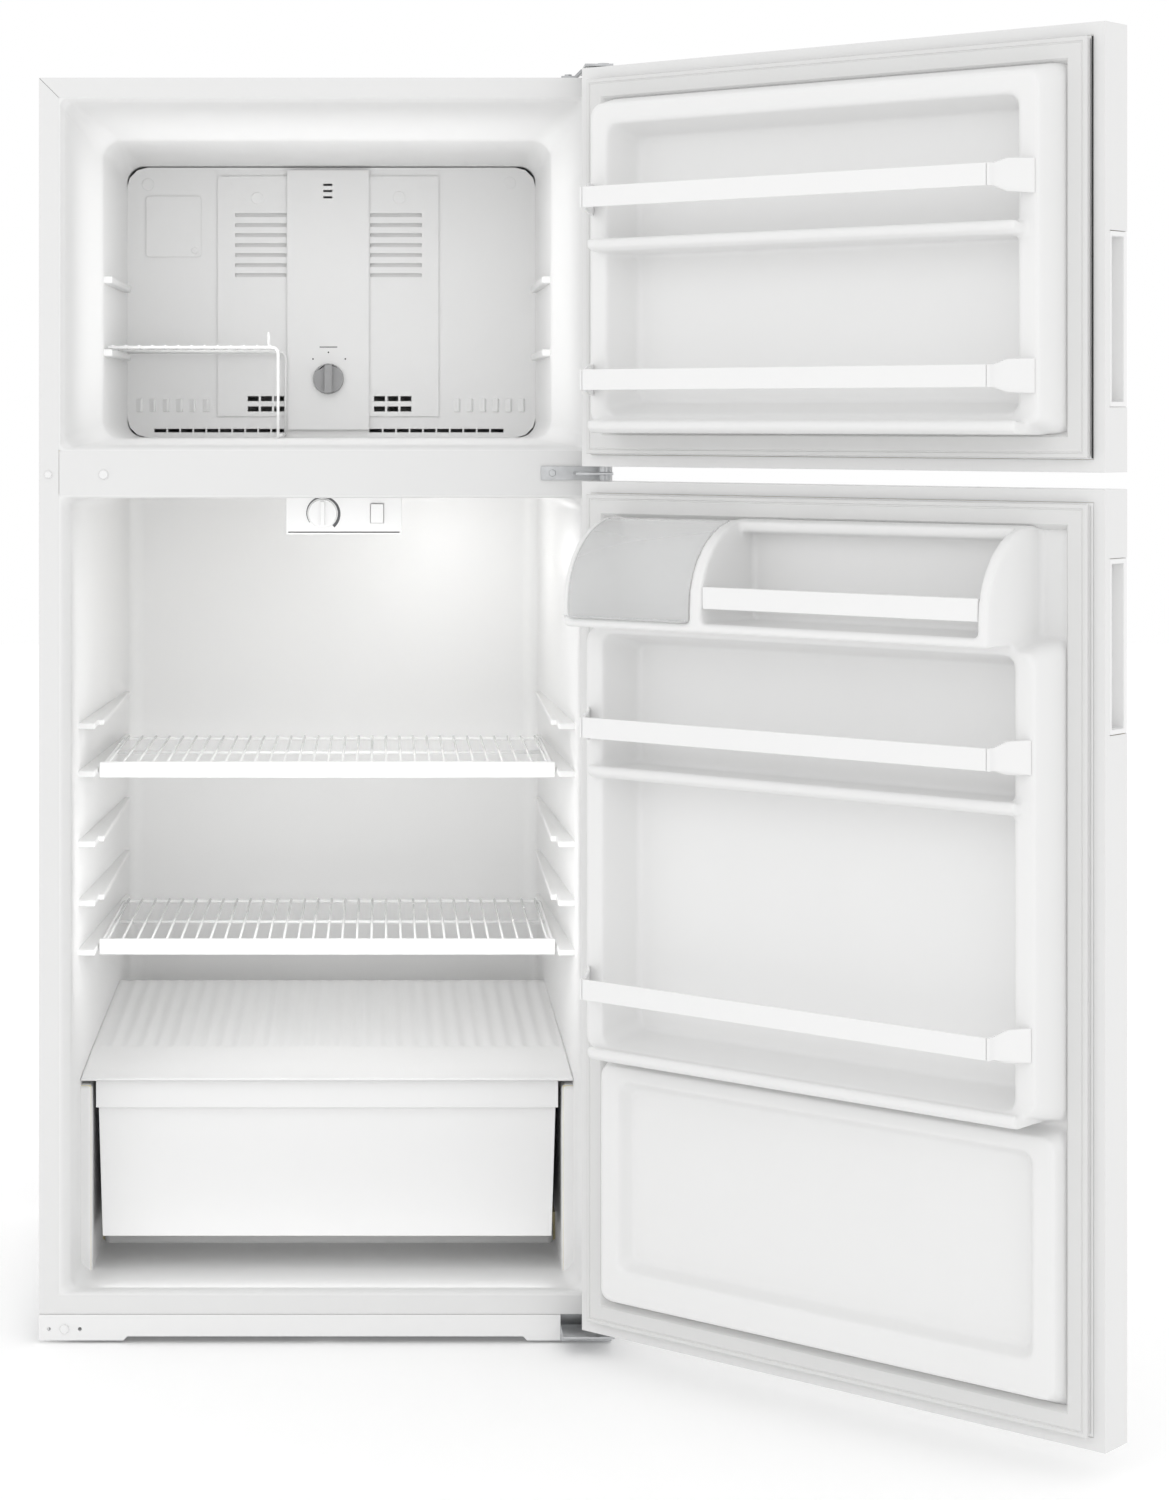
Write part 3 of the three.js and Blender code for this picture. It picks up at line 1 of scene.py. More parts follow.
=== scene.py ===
"""The looks of a top freezer refrigerator whose two doors stand open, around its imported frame.

Sizes are in millimetres in the cabinet's own frame: X from the middle of the cabinet to the right,
Y from its front face to the back, Z up from the floor. Door pieces are laid out with the door shut,
and their "reach" is the distance from the door's inner face into the cabinet. The matrices CABINET
and DOOR turn both into the frame's metres.
"""
import json
import math

import bmesh
import bpy
from mathutils import Matrix, Vector


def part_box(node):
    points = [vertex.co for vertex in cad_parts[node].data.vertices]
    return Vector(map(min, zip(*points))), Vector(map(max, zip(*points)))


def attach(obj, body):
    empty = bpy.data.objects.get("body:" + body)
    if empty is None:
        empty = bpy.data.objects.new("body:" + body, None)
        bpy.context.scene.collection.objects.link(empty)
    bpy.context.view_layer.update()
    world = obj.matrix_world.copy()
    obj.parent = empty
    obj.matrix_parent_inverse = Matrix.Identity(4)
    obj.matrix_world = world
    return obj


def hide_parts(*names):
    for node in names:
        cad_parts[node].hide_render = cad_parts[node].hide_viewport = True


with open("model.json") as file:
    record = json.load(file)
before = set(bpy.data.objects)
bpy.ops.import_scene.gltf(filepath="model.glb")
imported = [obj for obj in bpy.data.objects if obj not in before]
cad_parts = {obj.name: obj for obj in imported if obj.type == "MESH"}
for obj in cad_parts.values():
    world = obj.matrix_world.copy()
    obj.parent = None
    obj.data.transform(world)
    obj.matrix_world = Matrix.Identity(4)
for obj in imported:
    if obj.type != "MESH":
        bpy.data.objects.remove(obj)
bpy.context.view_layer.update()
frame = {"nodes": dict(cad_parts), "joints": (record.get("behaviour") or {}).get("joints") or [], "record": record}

MM = 0.001
NODES = frame["nodes"]

# ---------------------------------------------------------------- the frame's places
wrapper_low, wrapper_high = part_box("cabinet_wrapper")
HALF = (wrapper_high.x - wrapper_low.x) / 2 / MM
TOP = wrapper_high.z / MM
CABINET = Matrix.Translation(((wrapper_low.x + wrapper_high.x) / 2, wrapper_low.y, 0)) @ Matrix.Scale(MM, 4)
JOINTS = {joint["name"]: joint for joint in frame["joints"]}


def cabinet_box(node):
    """A cabinet node's lowest and highest corner in the cabinet's own millimetres."""
    low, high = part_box(node)
    back = CABINET.inverted()
    return back @ low, back @ high


hinge_line = CABINET.inverted() @ Vector(JOINTS["freezer_door_hinge"]["pos_m"])
OPENED = math.radians(-JOINTS["freezer_door_hinge"]["range_deg"][0])
PIN = Matrix.Translation((hinge_line.x, hinge_line.y, 0))
DOOR = CABINET @ PIN @ Matrix.Rotation(OPENED, 4, "Z") @ PIN.inverted()

DOOR_SIDE_GAP = 1  # how much narrower than the cabinet a door is, on each side
DOOR_HALF = HALF - DOOR_SIDE_GAP
INNER_FACE = -13  # Y of a shut door's inner face; "reach" is measured from it
# "dike" is how far the raised frame of a door's liner stands out.
FREEZER_DOOR = {"body": "freezer_door", "bottom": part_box("freezer_door_panel")[0].z / MM,
                "top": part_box("freezer_door_panel")[1].z / MM, "dike": 52}
FRIDGE_DOOR = {"body": "fridge_door", "bottom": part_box("fridge_door_panel")[0].z / MM,
               "top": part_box("fridge_door_panel")[1].z / MM, "dike": 60}


# ---------------------------------------------------------------- materials
def material(name, color, roughness, metallic=0.0, bump=None, blotch=None, rough_spread=0.0, **sockets):
    """A Principled material with procedural colour blotches, roughness spread and bump.

    bump is (cycles per metre, depth in metres, stretch along X, Y, Z), and blotch is
    (cycles per metre, how far the colour darkens)."""
    made = bpy.data.materials.new(name)
    made.use_nodes = True
    tree = made.node_tree
    shader = tree.nodes["Principled BSDF"]
    shader.inputs["Metallic"].default_value = metallic
    shader.inputs["Roughness"].default_value = roughness
    shader.inputs["Base Color"].default_value = (*color, 1)
    for socket, value in sockets.items():
        shader.inputs[socket.replace("_", " ")].default_value = value
    place_node = tree.nodes.new("ShaderNodeTexCoord")

    def noise(cycles, detail, stretch=(1, 1, 1)):
        mapping = tree.nodes.new("ShaderNodeMapping")
        mapping.inputs["Scale"].default_value = stretch
        tree.links.new(place_node.outputs["Object"], mapping.inputs["Vector"])
        texture = tree.nodes.new("ShaderNodeTexNoise")
        texture.inputs["Scale"].default_value = cycles
        texture.inputs["Detail"].default_value = detail
        tree.links.new(mapping.outputs["Vector"], texture.inputs["Vector"])
        return texture

    if blotch:
        cycles, darkening = blotch
        ramp = tree.nodes.new("ShaderNodeValToRGB")
        ramp.color_ramp.elements[0].position = 0.35
        ramp.color_ramp.elements[0].color = (*[c * (1 - darkening) for c in color], 1)
        ramp.color_ramp.elements[1].position = 0.65
        ramp.color_ramp.elements[1].color = (*color, 1)
        tree.links.new(noise(cycles, 4).outputs["Fac"], ramp.inputs["Fac"])
        tree.links.new(ramp.outputs["Color"], shader.inputs["Base Color"])
    if rough_spread:
        spread = tree.nodes.new("ShaderNodeMapRange")
        spread.inputs["To Min"].default_value = max(roughness - rough_spread, 0.02)
        spread.inputs["To Max"].default_value = roughness + rough_spread
        tree.links.new(noise(35, 5).outputs["Fac"], spread.inputs["Value"])
        tree.links.new(spread.outputs["Result"], shader.inputs["Roughness"])
    if bump:
        cycles, depth, stretch = bump
        bumps = tree.nodes.new("ShaderNodeBump")
        bumps.inputs["Distance"].default_value = depth
        bumps.inputs["Strength"].default_value = 0.6
        tree.links.new(noise(cycles, 2, stretch).outputs["Fac"], bumps.inputs["Height"])
        tree.links.new(bumps.outputs["Normal"], shader.inputs["Normal"])
    return made


EVEN = (1, 1, 1)  # a bump that is stretched along no axis
MATERIALS = {
    "painted_steel": material("painted_steel", (0.76, 0.76, 0.757), 0.32, bump=(380, 0.000025, EVEN),
                              blotch=(3, 0.012), rough_spread=0.02, Coat_Weight=0.25, Coat_Roughness=0.12),
    "liner_plastic": material("liner_plastic", (0.81, 0.81, 0.807), 0.42, bump=(1100, 0.000008, EVEN),
                              blotch=(4, 0.012), rough_spread=0.03),
    "trim_plastic": material("trim_plastic", (0.83, 0.83, 0.828), 0.3, bump=(1400, 0.000004, EVEN),
                             blotch=(5, 0.008), rough_spread=0.015),
    "gasket_rubber": material("gasket_rubber", (0.70, 0.70, 0.695), 0.6, bump=(900, 0.00001, EVEN),
                              blotch=(12, 0.01), rough_spread=0.03),
    "clear_plastic": material("clear_plastic", (0.86, 0.865, 0.865), 0.08, bump=(60, 0.00003, EVEN),
                              rough_spread=0.03, IOR=1.49, Alpha=0.3),
    "zinc_steel": material("zinc_steel", (0.60, 0.61, 0.62), 0.34, 1.0, bump=(300, 0.00008, (1, 1, 6)),
                           blotch=(40, 0.22), rough_spread=0.12),
    "coated_wire": material("coated_wire", (0.86, 0.86, 0.857), 0.25, bump=(500, 0.00002, EVEN),
                            blotch=(20, 0.02), rough_spread=0.06),
    "foam": material("foam", (0.80, 0.72, 0.45), 0.9, bump=(450, 0.0008, EVEN), blotch=(30, 0.2)),
    "grey_plastic": material("grey_plastic", (0.36, 0.36, 0.365), 0.35, bump=(800, 0.00006, EVEN),
                             blotch=(30, 0.05), rough_spread=0.06),
    "aluminium": material("aluminium", (0.75, 0.76, 0.77), 0.35, 1.0, bump=(250, 0.0001, (6, 1, 1)),
                          blotch=(60, 0.12), rough_spread=0.1),
    "copper": material("copper", (0.72, 0.38, 0.2), 0.32, 1.0, bump=(300, 0.0001, EVEN),
                       blotch=(40, 0.35), rough_spread=0.12),
    "black_steel": material("black_steel", (0.02, 0.02, 0.021), 0.38, bump=(380, 0.00015, EVEN),
                            blotch=(20, 0.3), rough_spread=0.08),
    "motor_iron": material("motor_iron", (0.12, 0.12, 0.125), 0.55, 0.8, bump=(260, 0.0004, EVEN),
                           blotch=(40, 0.3), rough_spread=0.1),
    "dark_plastic": material("dark_plastic", (0.04, 0.041, 0.042), 0.5, bump=(600, 0.0001, EVEN),
                             blotch=(25, 0.2), rough_spread=0.08),
    "lamp_glass": material("lamp_glass", (1.0, 0.98, 0.93), 0.15, bump=(120, 0.00005, EVEN),
                           rough_spread=0.04, Transmission_Weight=0.6, Emission_Color=(1, 0.97, 0.9, 1),
                           Emission_Strength=3.0),
    "fibre_board": material("fibre_board", (0.25, 0.235, 0.21), 0.85, bump=(350, 0.0004, (1, 1, 5)),
                            blotch=(120, 0.3), rough_spread=0.05),
    "roller_rubber": material("roller_rubber", (0.03, 0.03, 0.03), 0.75, bump=(500, 0.0002, EVEN),
                              blotch=(40, 0.3), rough_spread=0.08),
    "dark_mark": material("dark_mark", (0.02, 0.02, 0.021), 0.6, bump=(900, 0.00003, EVEN), blotch=(60, 0.2)),
    "grey_mark": material("grey_mark", (0.10, 0.10, 0.105), 0.5, bump=(900, 0.00003, EVEN), blotch=(60, 0.1)),
}


# ---------------------------------------------------------------- mesh building blocks
def piece(name, verts, faces, body, slot, place=CABINET, look=None, smooth=True):
    """A new object from vertices in millimetres, riding on a body."""
    mesh = bpy.data.meshes.new(name)
    mesh.from_pydata([place @ Vector(v) for v in verts], [], faces)
    mesh.validate()
    made = bpy.data.objects.new(name, mesh)
    bpy.context.scene.collection.objects.link(made)
    tidy = bmesh.new()
    tidy.from_mesh(mesh)
    bmesh.ops.recalc_face_normals(tidy, faces=tidy.faces)
    tidy.to_mesh(mesh)
    tidy.free()
    mesh.materials.append(MATERIALS[look or slot])
    for polygon in mesh.polygons:
        polygon.use_smooth = smooth
    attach(made, body)
    return made


def merged(parts):
    """Several (verts, faces) as one."""
    verts, faces = [], []
    for some_verts, some_faces in parts:
        start = len(verts)
        verts += some_verts
        faces += [[start + i for i in face] for face in some_faces]
    return verts, faces


def bevelled(made, width, segments=3, angle=30):
    """Rounds an object's edges. Its width is in millimetres."""
    bevel = made.modifiers.new("rounded_edges", "BEVEL")
    bevel.width = width * MM
    bevel.segments = segments
    bevel.limit_method = "ANGLE"
    bevel.angle_limit = math.radians(angle)
    bevel.harden_normals = True
    return made


def lofted(rings, closed_ends=True):
    """Faces through rings of 3-D points with equal counts."""
    count = len(rings[0])
    verts = [point for ring in rings for point in ring]
    faces = []
    for r in range(len(rings) - 1):
        for i in range(count):
            j = (i + 1) % count
            faces.append([r * count + i, r * count + j, (r + 1) * count + j, (r + 1) * count + i])
    if closed_ends:
        faces.append(list(range(count))[::-1])
        faces.append([(len(rings) - 1) * count + i for i in range(count)])
    return verts, faces


def block(x0, x1, y0, y1, z0, z1):
    """A box between two corners."""
    return lofted([[(x0, y0, z), (x1, y0, z), (x1, y1, z), (x0, y1, z)] for z in (z0, z1)])


def prism_x(outline, x0, x1):
    """An outline of (y, z) points drawn out along X."""
    return lofted([[(x, y, z) for y, z in outline] for x in (x0, x1)])


def prism_y(outline, y0, y1):
    """An outline of (x, z) points drawn out along Y."""
    return lofted([[(x, y, z) for x, z in outline] for y in (y0, y1)])


def prism_z(outline, z0, z1):
    """An outline of (x, y) points drawn out along Z."""
    return lofted([[(x, y, z) for x, y in outline] for z in (z0, z1)])


def rounded_rectangle(x0, x1, z0, z1, radius, steps=10):
    """Points (x, z) around a rectangle with round corners, anticlockwise."""
    points = []
    centres = ((x1 - radius, z1 - radius), (x0 + radius, z1 - radius), (x0 + radius, z0 + radius),
               (x1 - radius, z0 + radius))
    for quarter, (cx, cz) in enumerate(centres):
        for i in range(steps + 1):
            angle = (quarter + i / steps) * math.pi / 2
            points.append((cx + radius * math.cos(angle), cz + radius * math.sin(angle)))
    return points


def disc(x, z, radius, y0, y1, sides=32, top_radius=None):
    """A round cap about a Y axis through (x, z)."""
    rings = []
    for y, r in ((y0, radius), (y1, radius if top_radius is None else top_radius)):
        rings.append([(x + r * math.cos(i * math.tau / sides), y, z + r * math.sin(i * math.tau / sides))
                      for i in range(sides)])
    return lofted(rings)


def tube(points, radius, sides=10):
    """A round wire through points, with mitred bends."""
    path = [Vector(p) for p in points]
    rings = []
    up = Vector((0, 0, 1))
    if abs((path[1] - path[0]).normalized().dot(up)) > 0.9:
        up = Vector((1, 0, 0))
    across = None
    for i, at in enumerate(path):
        before = (at - path[i - 1]).normalized() if i else None
        after = (path[i + 1] - at).normalized() if i + 1 < len(path) else None
        if before is None or after is None:
            along = before or after
            stretch = 1
        else:
            along = (before + after).normalized()
            stretch = 1 / max(along.dot(after), 0.3)
        if across is None:
            across = along.cross(up).normalized()
        across = (across - along * across.dot(along)).normalized()
        other = along.cross(across).normalized()
        ring = []
        bend = None if before is None or after is None else (after - before)
        for s in range(sides):
            angle = s * math.tau / sides
            offset = (across * math.cos(angle) + other * math.sin(angle)) * radius
            if bend is not None and bend.length > 1e-6:
                out = bend.normalized()
                offset += out * offset.dot(out) * (stretch - 1)
            ring.append(tuple(at + offset))
        rings.append(ring)
    return lofted(rings)


def bent(points, radius, steps=6):
    """The points of a wire whose corners are bends of that radius."""
    path = [Vector(p) for p in points]
    out = [tuple(path[0])]
    for i in range(1, len(path) - 1):
        a = (path[i - 1] - path[i]).normalized()
        b = (path[i + 1] - path[i]).normalized()
        start = path[i] + a * radius
        end = path[i] + b * radius
        for s in range(steps + 1):
            t = s / steps
            out.append(tuple(start * (1 - t) ** 2 + path[i] * 2 * t * (1 - t) + end * t ** 2))
    out.append(tuple(path[-1]))
    return out


def mitred_frame(x0, x1, z0, z1, profile):
    """A profile of (inset, y) points swept around a rectangle, with mitred corners."""
    corners = ((x0, z0, 1, 1), (x1, z0, -1, 1), (x1, z1, -1, -1), (x0, z1, 1, -1))
    verts = [(x + sx * inset, y, z + sz * inset) for x, z, sx, sz in corners for inset, y in profile]
    count = len(profile)
    faces = []
    for c in range(4):
        d = (c + 1) % 4
        for i in range(count):
            j = (i + 1) % count
            faces.append([c * count + i, d * count + i, d * count + j, c * count + j])
    return verts, faces


def reach_y(reach):
    """Y of a point that stands so far in front of a shut door's inner face."""
    return INNER_FACE + reach


# ---------------------------------------------------------------- CAD nodes that keep their shape
def soften(node, slot, width, look=None):
    """Gives a CAD node its material and, through modifiers alone, softened edges and smooth shading."""
    made = NODES[node]
    made.data.materials.clear()
    made.data.materials.append(MATERIALS[look or slot])
    for polygon in made.data.polygons:
        polygon.use_smooth = True
    weld = made.modifiers.new("weld", "WELD")
    weld.merge_threshold = 1e-5
    flat = made.modifiers.new("flat_faces", "DECIMATE")
    flat.decimate_type = "DISSOLVE"
    flat.angle_limit = math.radians(1)
    if width:
        bevelled(made, width, 2)
    shading = made.modifiers.new("shading", "WEIGHTED_NORMAL")
    shading.keep_sharp = True


def dress_cad_nodes():
    """Softens every CAD node; the edge widths are in millimetres."""
    narrow_edge = 0.3
    widths = {
        "cabinet_wrapper": 0.4, "centre_rail": 0.4, "base_grille": 0.8, "top_hinge": 0.5, "centre_hinge": 0.6,
        "bottom_hinge": 0.5, "control_housing": 1.0, "door_switch": 0.8, "crisper_drawer": 0.9,
        "upper_shelf_trim": 0.8, "lower_shelf_trim": 0.8, "evaporator_cover": 0.5, "fill_cover": 0.5,
        "freezer_door_panel": 0.4, "fridge_door_panel": 0.4, "freezer_door_handle": 1.5,
        "fridge_door_handle": 1.5, "fridge_rack_trim": 1.2, "drain_pan": 0.6, "lamp_socket": 0.8,
    }
    for entry in frame["record"]["subparts"]:
        soften(entry["node"], entry["material_slot"], widths.get(entry["node"], narrow_edge))


# ---------------------------------------------------------------- cabinet
def liner_sheet(name, node, rings, steps=10):
    """A compartment's moulded liner from (y, half width, low, high, corner radius) sections."""
    points = []
    for y, half_width, low, high, radius in rings:
        outline = rounded_rectangle(-half_width, half_width, low, high, radius, steps)
        points.append([(x, y, z) for x, z in outline])
    verts, faces = lofted(points, closed_ends=False)
    last = (len(points) - 1) * len(points[0])
    faces.append([last + i for i in range(len(points[0]))])
    made = piece(name, verts, faces, "cabinet", "liner_plastic")
    wall = made.modifiers.new("wall", "SOLIDIFY")
    wall.thickness = 1.2 * MM
    wall.offset = 1 if faces_outward(made) else -1
    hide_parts(node)
    return made


def faces_outward(made):
    """Whether an open liner's faces point away from its inside, where its wall has to grow."""
    face = made.data.polygons[0]
    middle = sum((vert.co for vert in made.data.vertices), Vector()) / len(made.data.vertices)
    return face.normal.dot(middle - face.center) < 0


def back_fillet(y, half_width, low, high, radius, fillet, steps=5):
    """Sections that round a liner off into its back wall."""
    rings = []
    for i in range(steps + 1):
        angle = i / steps * math.pi / 2
        shrink = fillet * (1 - math.cos(angle))
        rings.append((y - fillet + fillet * math.sin(angle), half_width - shrink, low + shrink, high - shrink,
                      max(radius - shrink, 2)))
    return rings


def freezer_liner():
    """A hem behind the flange, a flared mouth, a straight box and a rounded back."""
    high = cabinet_box("freezer_liner")[1]
    mouth = high.x - 2
    wall = 3
    rings = [(1.25, mouth + 3, 1094.5, 1533, 8), (1.5, mouth - 0.5, 1097, 1530, 10),
             (4, mouth - 1.5, 1098, 1529, 11)]
    flare = ((5.5, 4, 1099, 1527, 13), (9, 6, 1100, 1525.5, 15), (50, 25, 1104.5, 1507, 20),
             (84, 41.5, 1108.4, 1489.5, 24), (90, 44, 1109, 1486.5, 24), (97, 44.6, 1109.2, 1486, 24))
    rings += [(y, mouth - narrow, z0, z1, radius) for y, narrow, z0, z1, radius in flare]
    rings += back_fillet(high.y - wall, 278, 1109.3, 1478.5, 24, 18)
    liner_sheet("freezer_liner_sheet", "freezer_liner", rings)


def fridge_liner():
    """A hem behind the flange, a straight box and a rounded back."""
    high = cabinet_box("fridge_liner")[1]
    wall = 3
    rings = [(1.25, 331, 54, 1043.5, 6), (1.5, 326, 60.2, 1040, 10), (4, 323.5, 60.6, 1039.5, 12),
             (10, 317.5, 61, 1039.3, 15), (15, 315, 61.2, 1039, 18)]
    rings += back_fillet(high.y - wall, 290, 61.5, 1038.5, 22, 22)
    liner_sheet("fridge_liner_sheet", "fridge_liner", rings)


def side_block(side, inner, outer, y0, y1, z0, z1):
    """A block on the left (side -1) or right (side 1) wall, from its distances to the middle."""
    x0, x1 = sorted((side * inner, side * outer))
    return block(x0, x1, y0, y1, z0, z1)


def liner_details():
    """Shelf supports, the stepped floor and the pads beside the drawer, moulded into the liners."""
    supports = []
    rail_heights, rail_front, rail_back = (1214, 1306), 102, 399
    for z in rail_heights:
        for side in (-1, 1):
            supports.append(side_block(side, 271, 283.5, rail_front, rail_back, z + 0.3, z + 9.7))
    bevelled(piece("freezer_shelf_supports", *merged(supports), "cabinet", "liner_plastic"), 2.5)
    supports = []
    below_shelf, rail_front, step_front, rail_back = 5.5, 74, 124, 540
    for level in (760, 700, 612, 538, 476):
        top = level - below_shelf
        for side in (-1, 1):
            supports.append(side_block(side, 290, 314, rail_front, rail_back, top - 8, top))
            supports.append(side_block(side, 283, 306, step_front, rail_back, top - 7.6, top - 0.2))
    bevelled(piece("fridge_shelf_supports", *merged(supports), "cabinet", "liner_plastic"), 2.4)
    # The outline of the step over the machine compartment, as (y, z).
    floor = [(230, 58), (233, 84), (250, 99.5), (444, 99.5), (444.5, 268), (471, 299), (584, 313), (584, 58)]
    bevelled(piece("fridge_floor_step", *prism_x(floor, -292, 292), "cabinet", "liner_plastic"), 8, 5)
    pads = [side_block(side, 295.3, 315.5, 96, 560, 58, 297.5) for side in (-1, 1)]
    bevelled(piece("fridge_side_pads", *merged(pads), "cabinet", "liner_plastic"), 6, 4)


def seams():
    """Thin dark joint lines at the mitred corners of the cabinet's front flange."""
    strips = []
    edge, flange, width = 0.6, 24, 0.35
    for side in (-1, 1):
        outer, inner = (side * (HALF - edge), TOP - edge), (side * (HALF - flange), TOP - flange)
        outline = [(outer[0] - side * width, outer[1]), (outer[0], outer[1] - width),
                   (inner[0], inner[1] - width), (inner[0] - side * width, inner[1])]
        strips.append(prism_y(outline, -0.05, 0.4))
    piece("flange_corner_seams", *merged(strips), "cabinet", "painted_steel", look="grey_mark", smooth=False)


def evaporator_cover_details():
    """Screw caps, flow ribs, slot dividers, louver blades and the marks around the knob."""
    back = cabinet_box("evaporator_cover")[1].y
    plate_face = back - 3
    step_face = plate_face - 3
    column_face = back - 11
    caps = []
    cap_radius, cap_foot_radius, cap_rise, sunk = 8, 8.6, 0.7, 0.5
    for x, z, face in ((-250, 1455, plate_face), (243, 1457, plate_face),
                       (-101, 1436, step_face), (92, 1437, step_face)):
        caps.append(disc(x, z, cap_radius, face - cap_rise, face + sunk, top_radius=cap_foot_radius))
    bevelled(piece("cover_screw_caps", *merged(caps), "cabinet", "liner_plastic"), 0.3, 2)
    bumps = []
    ribs, rib_bottom, rib_top = 6, 1145, 1163
    for start, end in ((-263, -172), (170, 258)):
        for i in range(ribs):
            x = start + (end - start) * i / (ribs - 1)
            outline = [(x - 4, plate_face + 0.3), (x + 3, plate_face - 3.2), (x + 4.5, plate_face - 2),
                       (x + 6, plate_face + 0.3)]
            bumps.append(prism_z(outline, rib_bottom, rib_top))
    bevelled(piece("cover_flow_ribs", *merged(bumps), "cabinet", "liner_plastic"), 0.8, 3)
    dividers = []
    cells, half_width, slot_bottom, slot_top = 10, 1.1, 1116.8, 1122.2
    for start, end in ((-241.5, -64.5), (51.5, 234.5)):
        for i in range(1, cells):
            x = start + (end - start) * i / cells
            dividers.append(block(x - half_width, x + half_width, plate_face + 0.4, plate_face + 2.6,
                                  slot_bottom, slot_top))
    piece("cover_slot_dividers", *merged(dividers), "cabinet", "liner_plastic", smooth=False)
    shades = []
    louvers, top_louver, louver_spacing, end_gap = 7, 1413, 13.65, 0.3
    for x0, x1 in ((-131, -61.5), (53, 123)):
        for row in range(louvers):
            z = top_louver - row * louver_spacing
            louver = [(plate_face + 0.2, z - 2.4), (plate_face + 2.8, z + 1.6), (plate_face + 2.8, z + 2.4),
                      (plate_face - 1.0, z - 2.4)]
            shades.append(prism_x(louver, x0 + end_gap, x1 - end_gap))
    piece("cover_louver_blades", *merged(shades), "cabinet", "liner_plastic", smooth=False)
    dot_radius, dot_sides = 1.1, 16
    marks = [disc(x, z, dot_radius, column_face - 0.1, column_face + 0.2, dot_sides)
             for x, z in ((-4, 1226), (-25, 1217), (19, 1217))]
    marks.append(block(-16, 8, column_face - 0.08, column_face + 0.1, 1232.6, 1233.8))
    piece("knob_marks", *merged(marks), "cabinet", "liner_plastic", look="dark_mark", smooth=False)


def control_details():
    """The widening arc printed around the temperature dial."""
    face = cabinet_box("control_housing")[0].y
    dial_low, dial_high = cabinet_box("temperature_dial")
    x = (dial_low.x + dial_high.x) / 2
    z = (dial_low.z + dial_high.z) / 2
    front, back = face - 0.25, face + 0.3
    start, end, steps = math.radians(215), math.radians(-50), 40
    inner, thin_end, widening = 19.4, 0.7, 3.2
    rings = []
    for i in range(steps + 1):
        angle = start + (end - start) * i / steps
        outer = inner + thin_end + widening * i / steps
        c, s = math.cos(angle), math.sin(angle)
        rings.append([(x + r * c, y, z + r * s)
                      for r, y in ((inner, front), (outer, front), (outer, back), (inner, back))])
    piece("dial_scale", *lofted(rings), "cabinet", "trim_plastic", look="grey_mark", smooth=False)


# ---------------------------------------------------------------- wire shelves and crisper
def fridge_shelf(word):
    """Round wires in place of the upper or lower shelf's square ones."""
    body = word + "_shelf"
    low, high = cabinet_box(word + "_shelf_wires")
    z, half = high.z, high.x
    front, back = low.y, high.y
    wires = []
    count, side_margin = 31, 9
    wire_radius, rim_radius, crossbar_radius = 1.6, 2.4, 2.1
    rim_inset, rim_drop, rim_bend = 2.5, 4.5, 14
    for i in range(count):
        x = -half + side_margin + 2 * (half - side_margin) * i / (count - 1)
        wires.append(tube([(x, front + 0.5, z - 1.7), (x, back - 1, z - 1.7)], wire_radius, 8))
    rim_half, rim_z = half - rim_inset, z - rim_drop
    rim = bent([(-rim_half, front + 1, rim_z), (-rim_half, back - 2.6, rim_z),
                (rim_half, back - 2.6, rim_z), (rim_half, front + 1, rim_z)], rim_bend)
    wires.append(tube(rim, rim_radius))
    for y in (front + 2.6, (front + back) / 2):
        wires.append(tube([(-half + 2, y, z - 5), (half - 2, y, z - 5)], crossbar_radius))
    made = piece(word + "_shelf_round_wires", *merged(wires), body, "coated_wire")
    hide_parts(word + "_shelf_wires")


def freezer_shelf():
    """Round wires in place of the half-width freezer shelf's grid and legs."""
    low, high = cabinet_box("freezer_wire_shelf")
    left, right, front, back = low.x, high.x, low.y, high.y
    floor = cabinet_box("freezer_shelf_legs")[0].z
    z = 1228  # the grid's height
    middle = (front + back) / 2
    leg_radius, crossbar_radius, foot_radius, wire_radius = 1.9, 1.6, 1.7, 1.5
    leg_bend = 9
    wires = []
    for y in (front + 2, back - 2):
        corners = [(left + 0.5, y, z - 2), (right - 2, y, z - 2), (right - 2, y, floor + 1)]
        wires.append(tube(bent(corners, leg_bend), leg_radius))
    wires.append(tube([(left + 0.5, middle, z - 3.4), (right - 4, middle, z - 3.4)], crossbar_radius))
    wires.append(tube([(right - 2, front + 2, floor + 4), (right - 2, back - 2, floor + 4)], foot_radius))
    count, left_margin, right_margin = 13, 6, 12
    for i in range(count):
        x = left + left_margin + (right - left - left_margin - right_margin) * i / (count - 1)
        wires.append(tube([(x, front + 0.5, z - 0.3), (x, back - 0.5, z - 0.3)], wire_radius, 8))
    stop, stop_rise = right - 14, 16.5
    wires.append(tube([(stop, front + 2, z), (stop, front + 2, z + stop_rise)], wire_radius, 8))
    made = piece("freezer_shelf_round_wires", *merged(wires), "freezer_shelf", "coated_wire")
    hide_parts("freezer_wire_shelf", "freezer_shelf_legs")


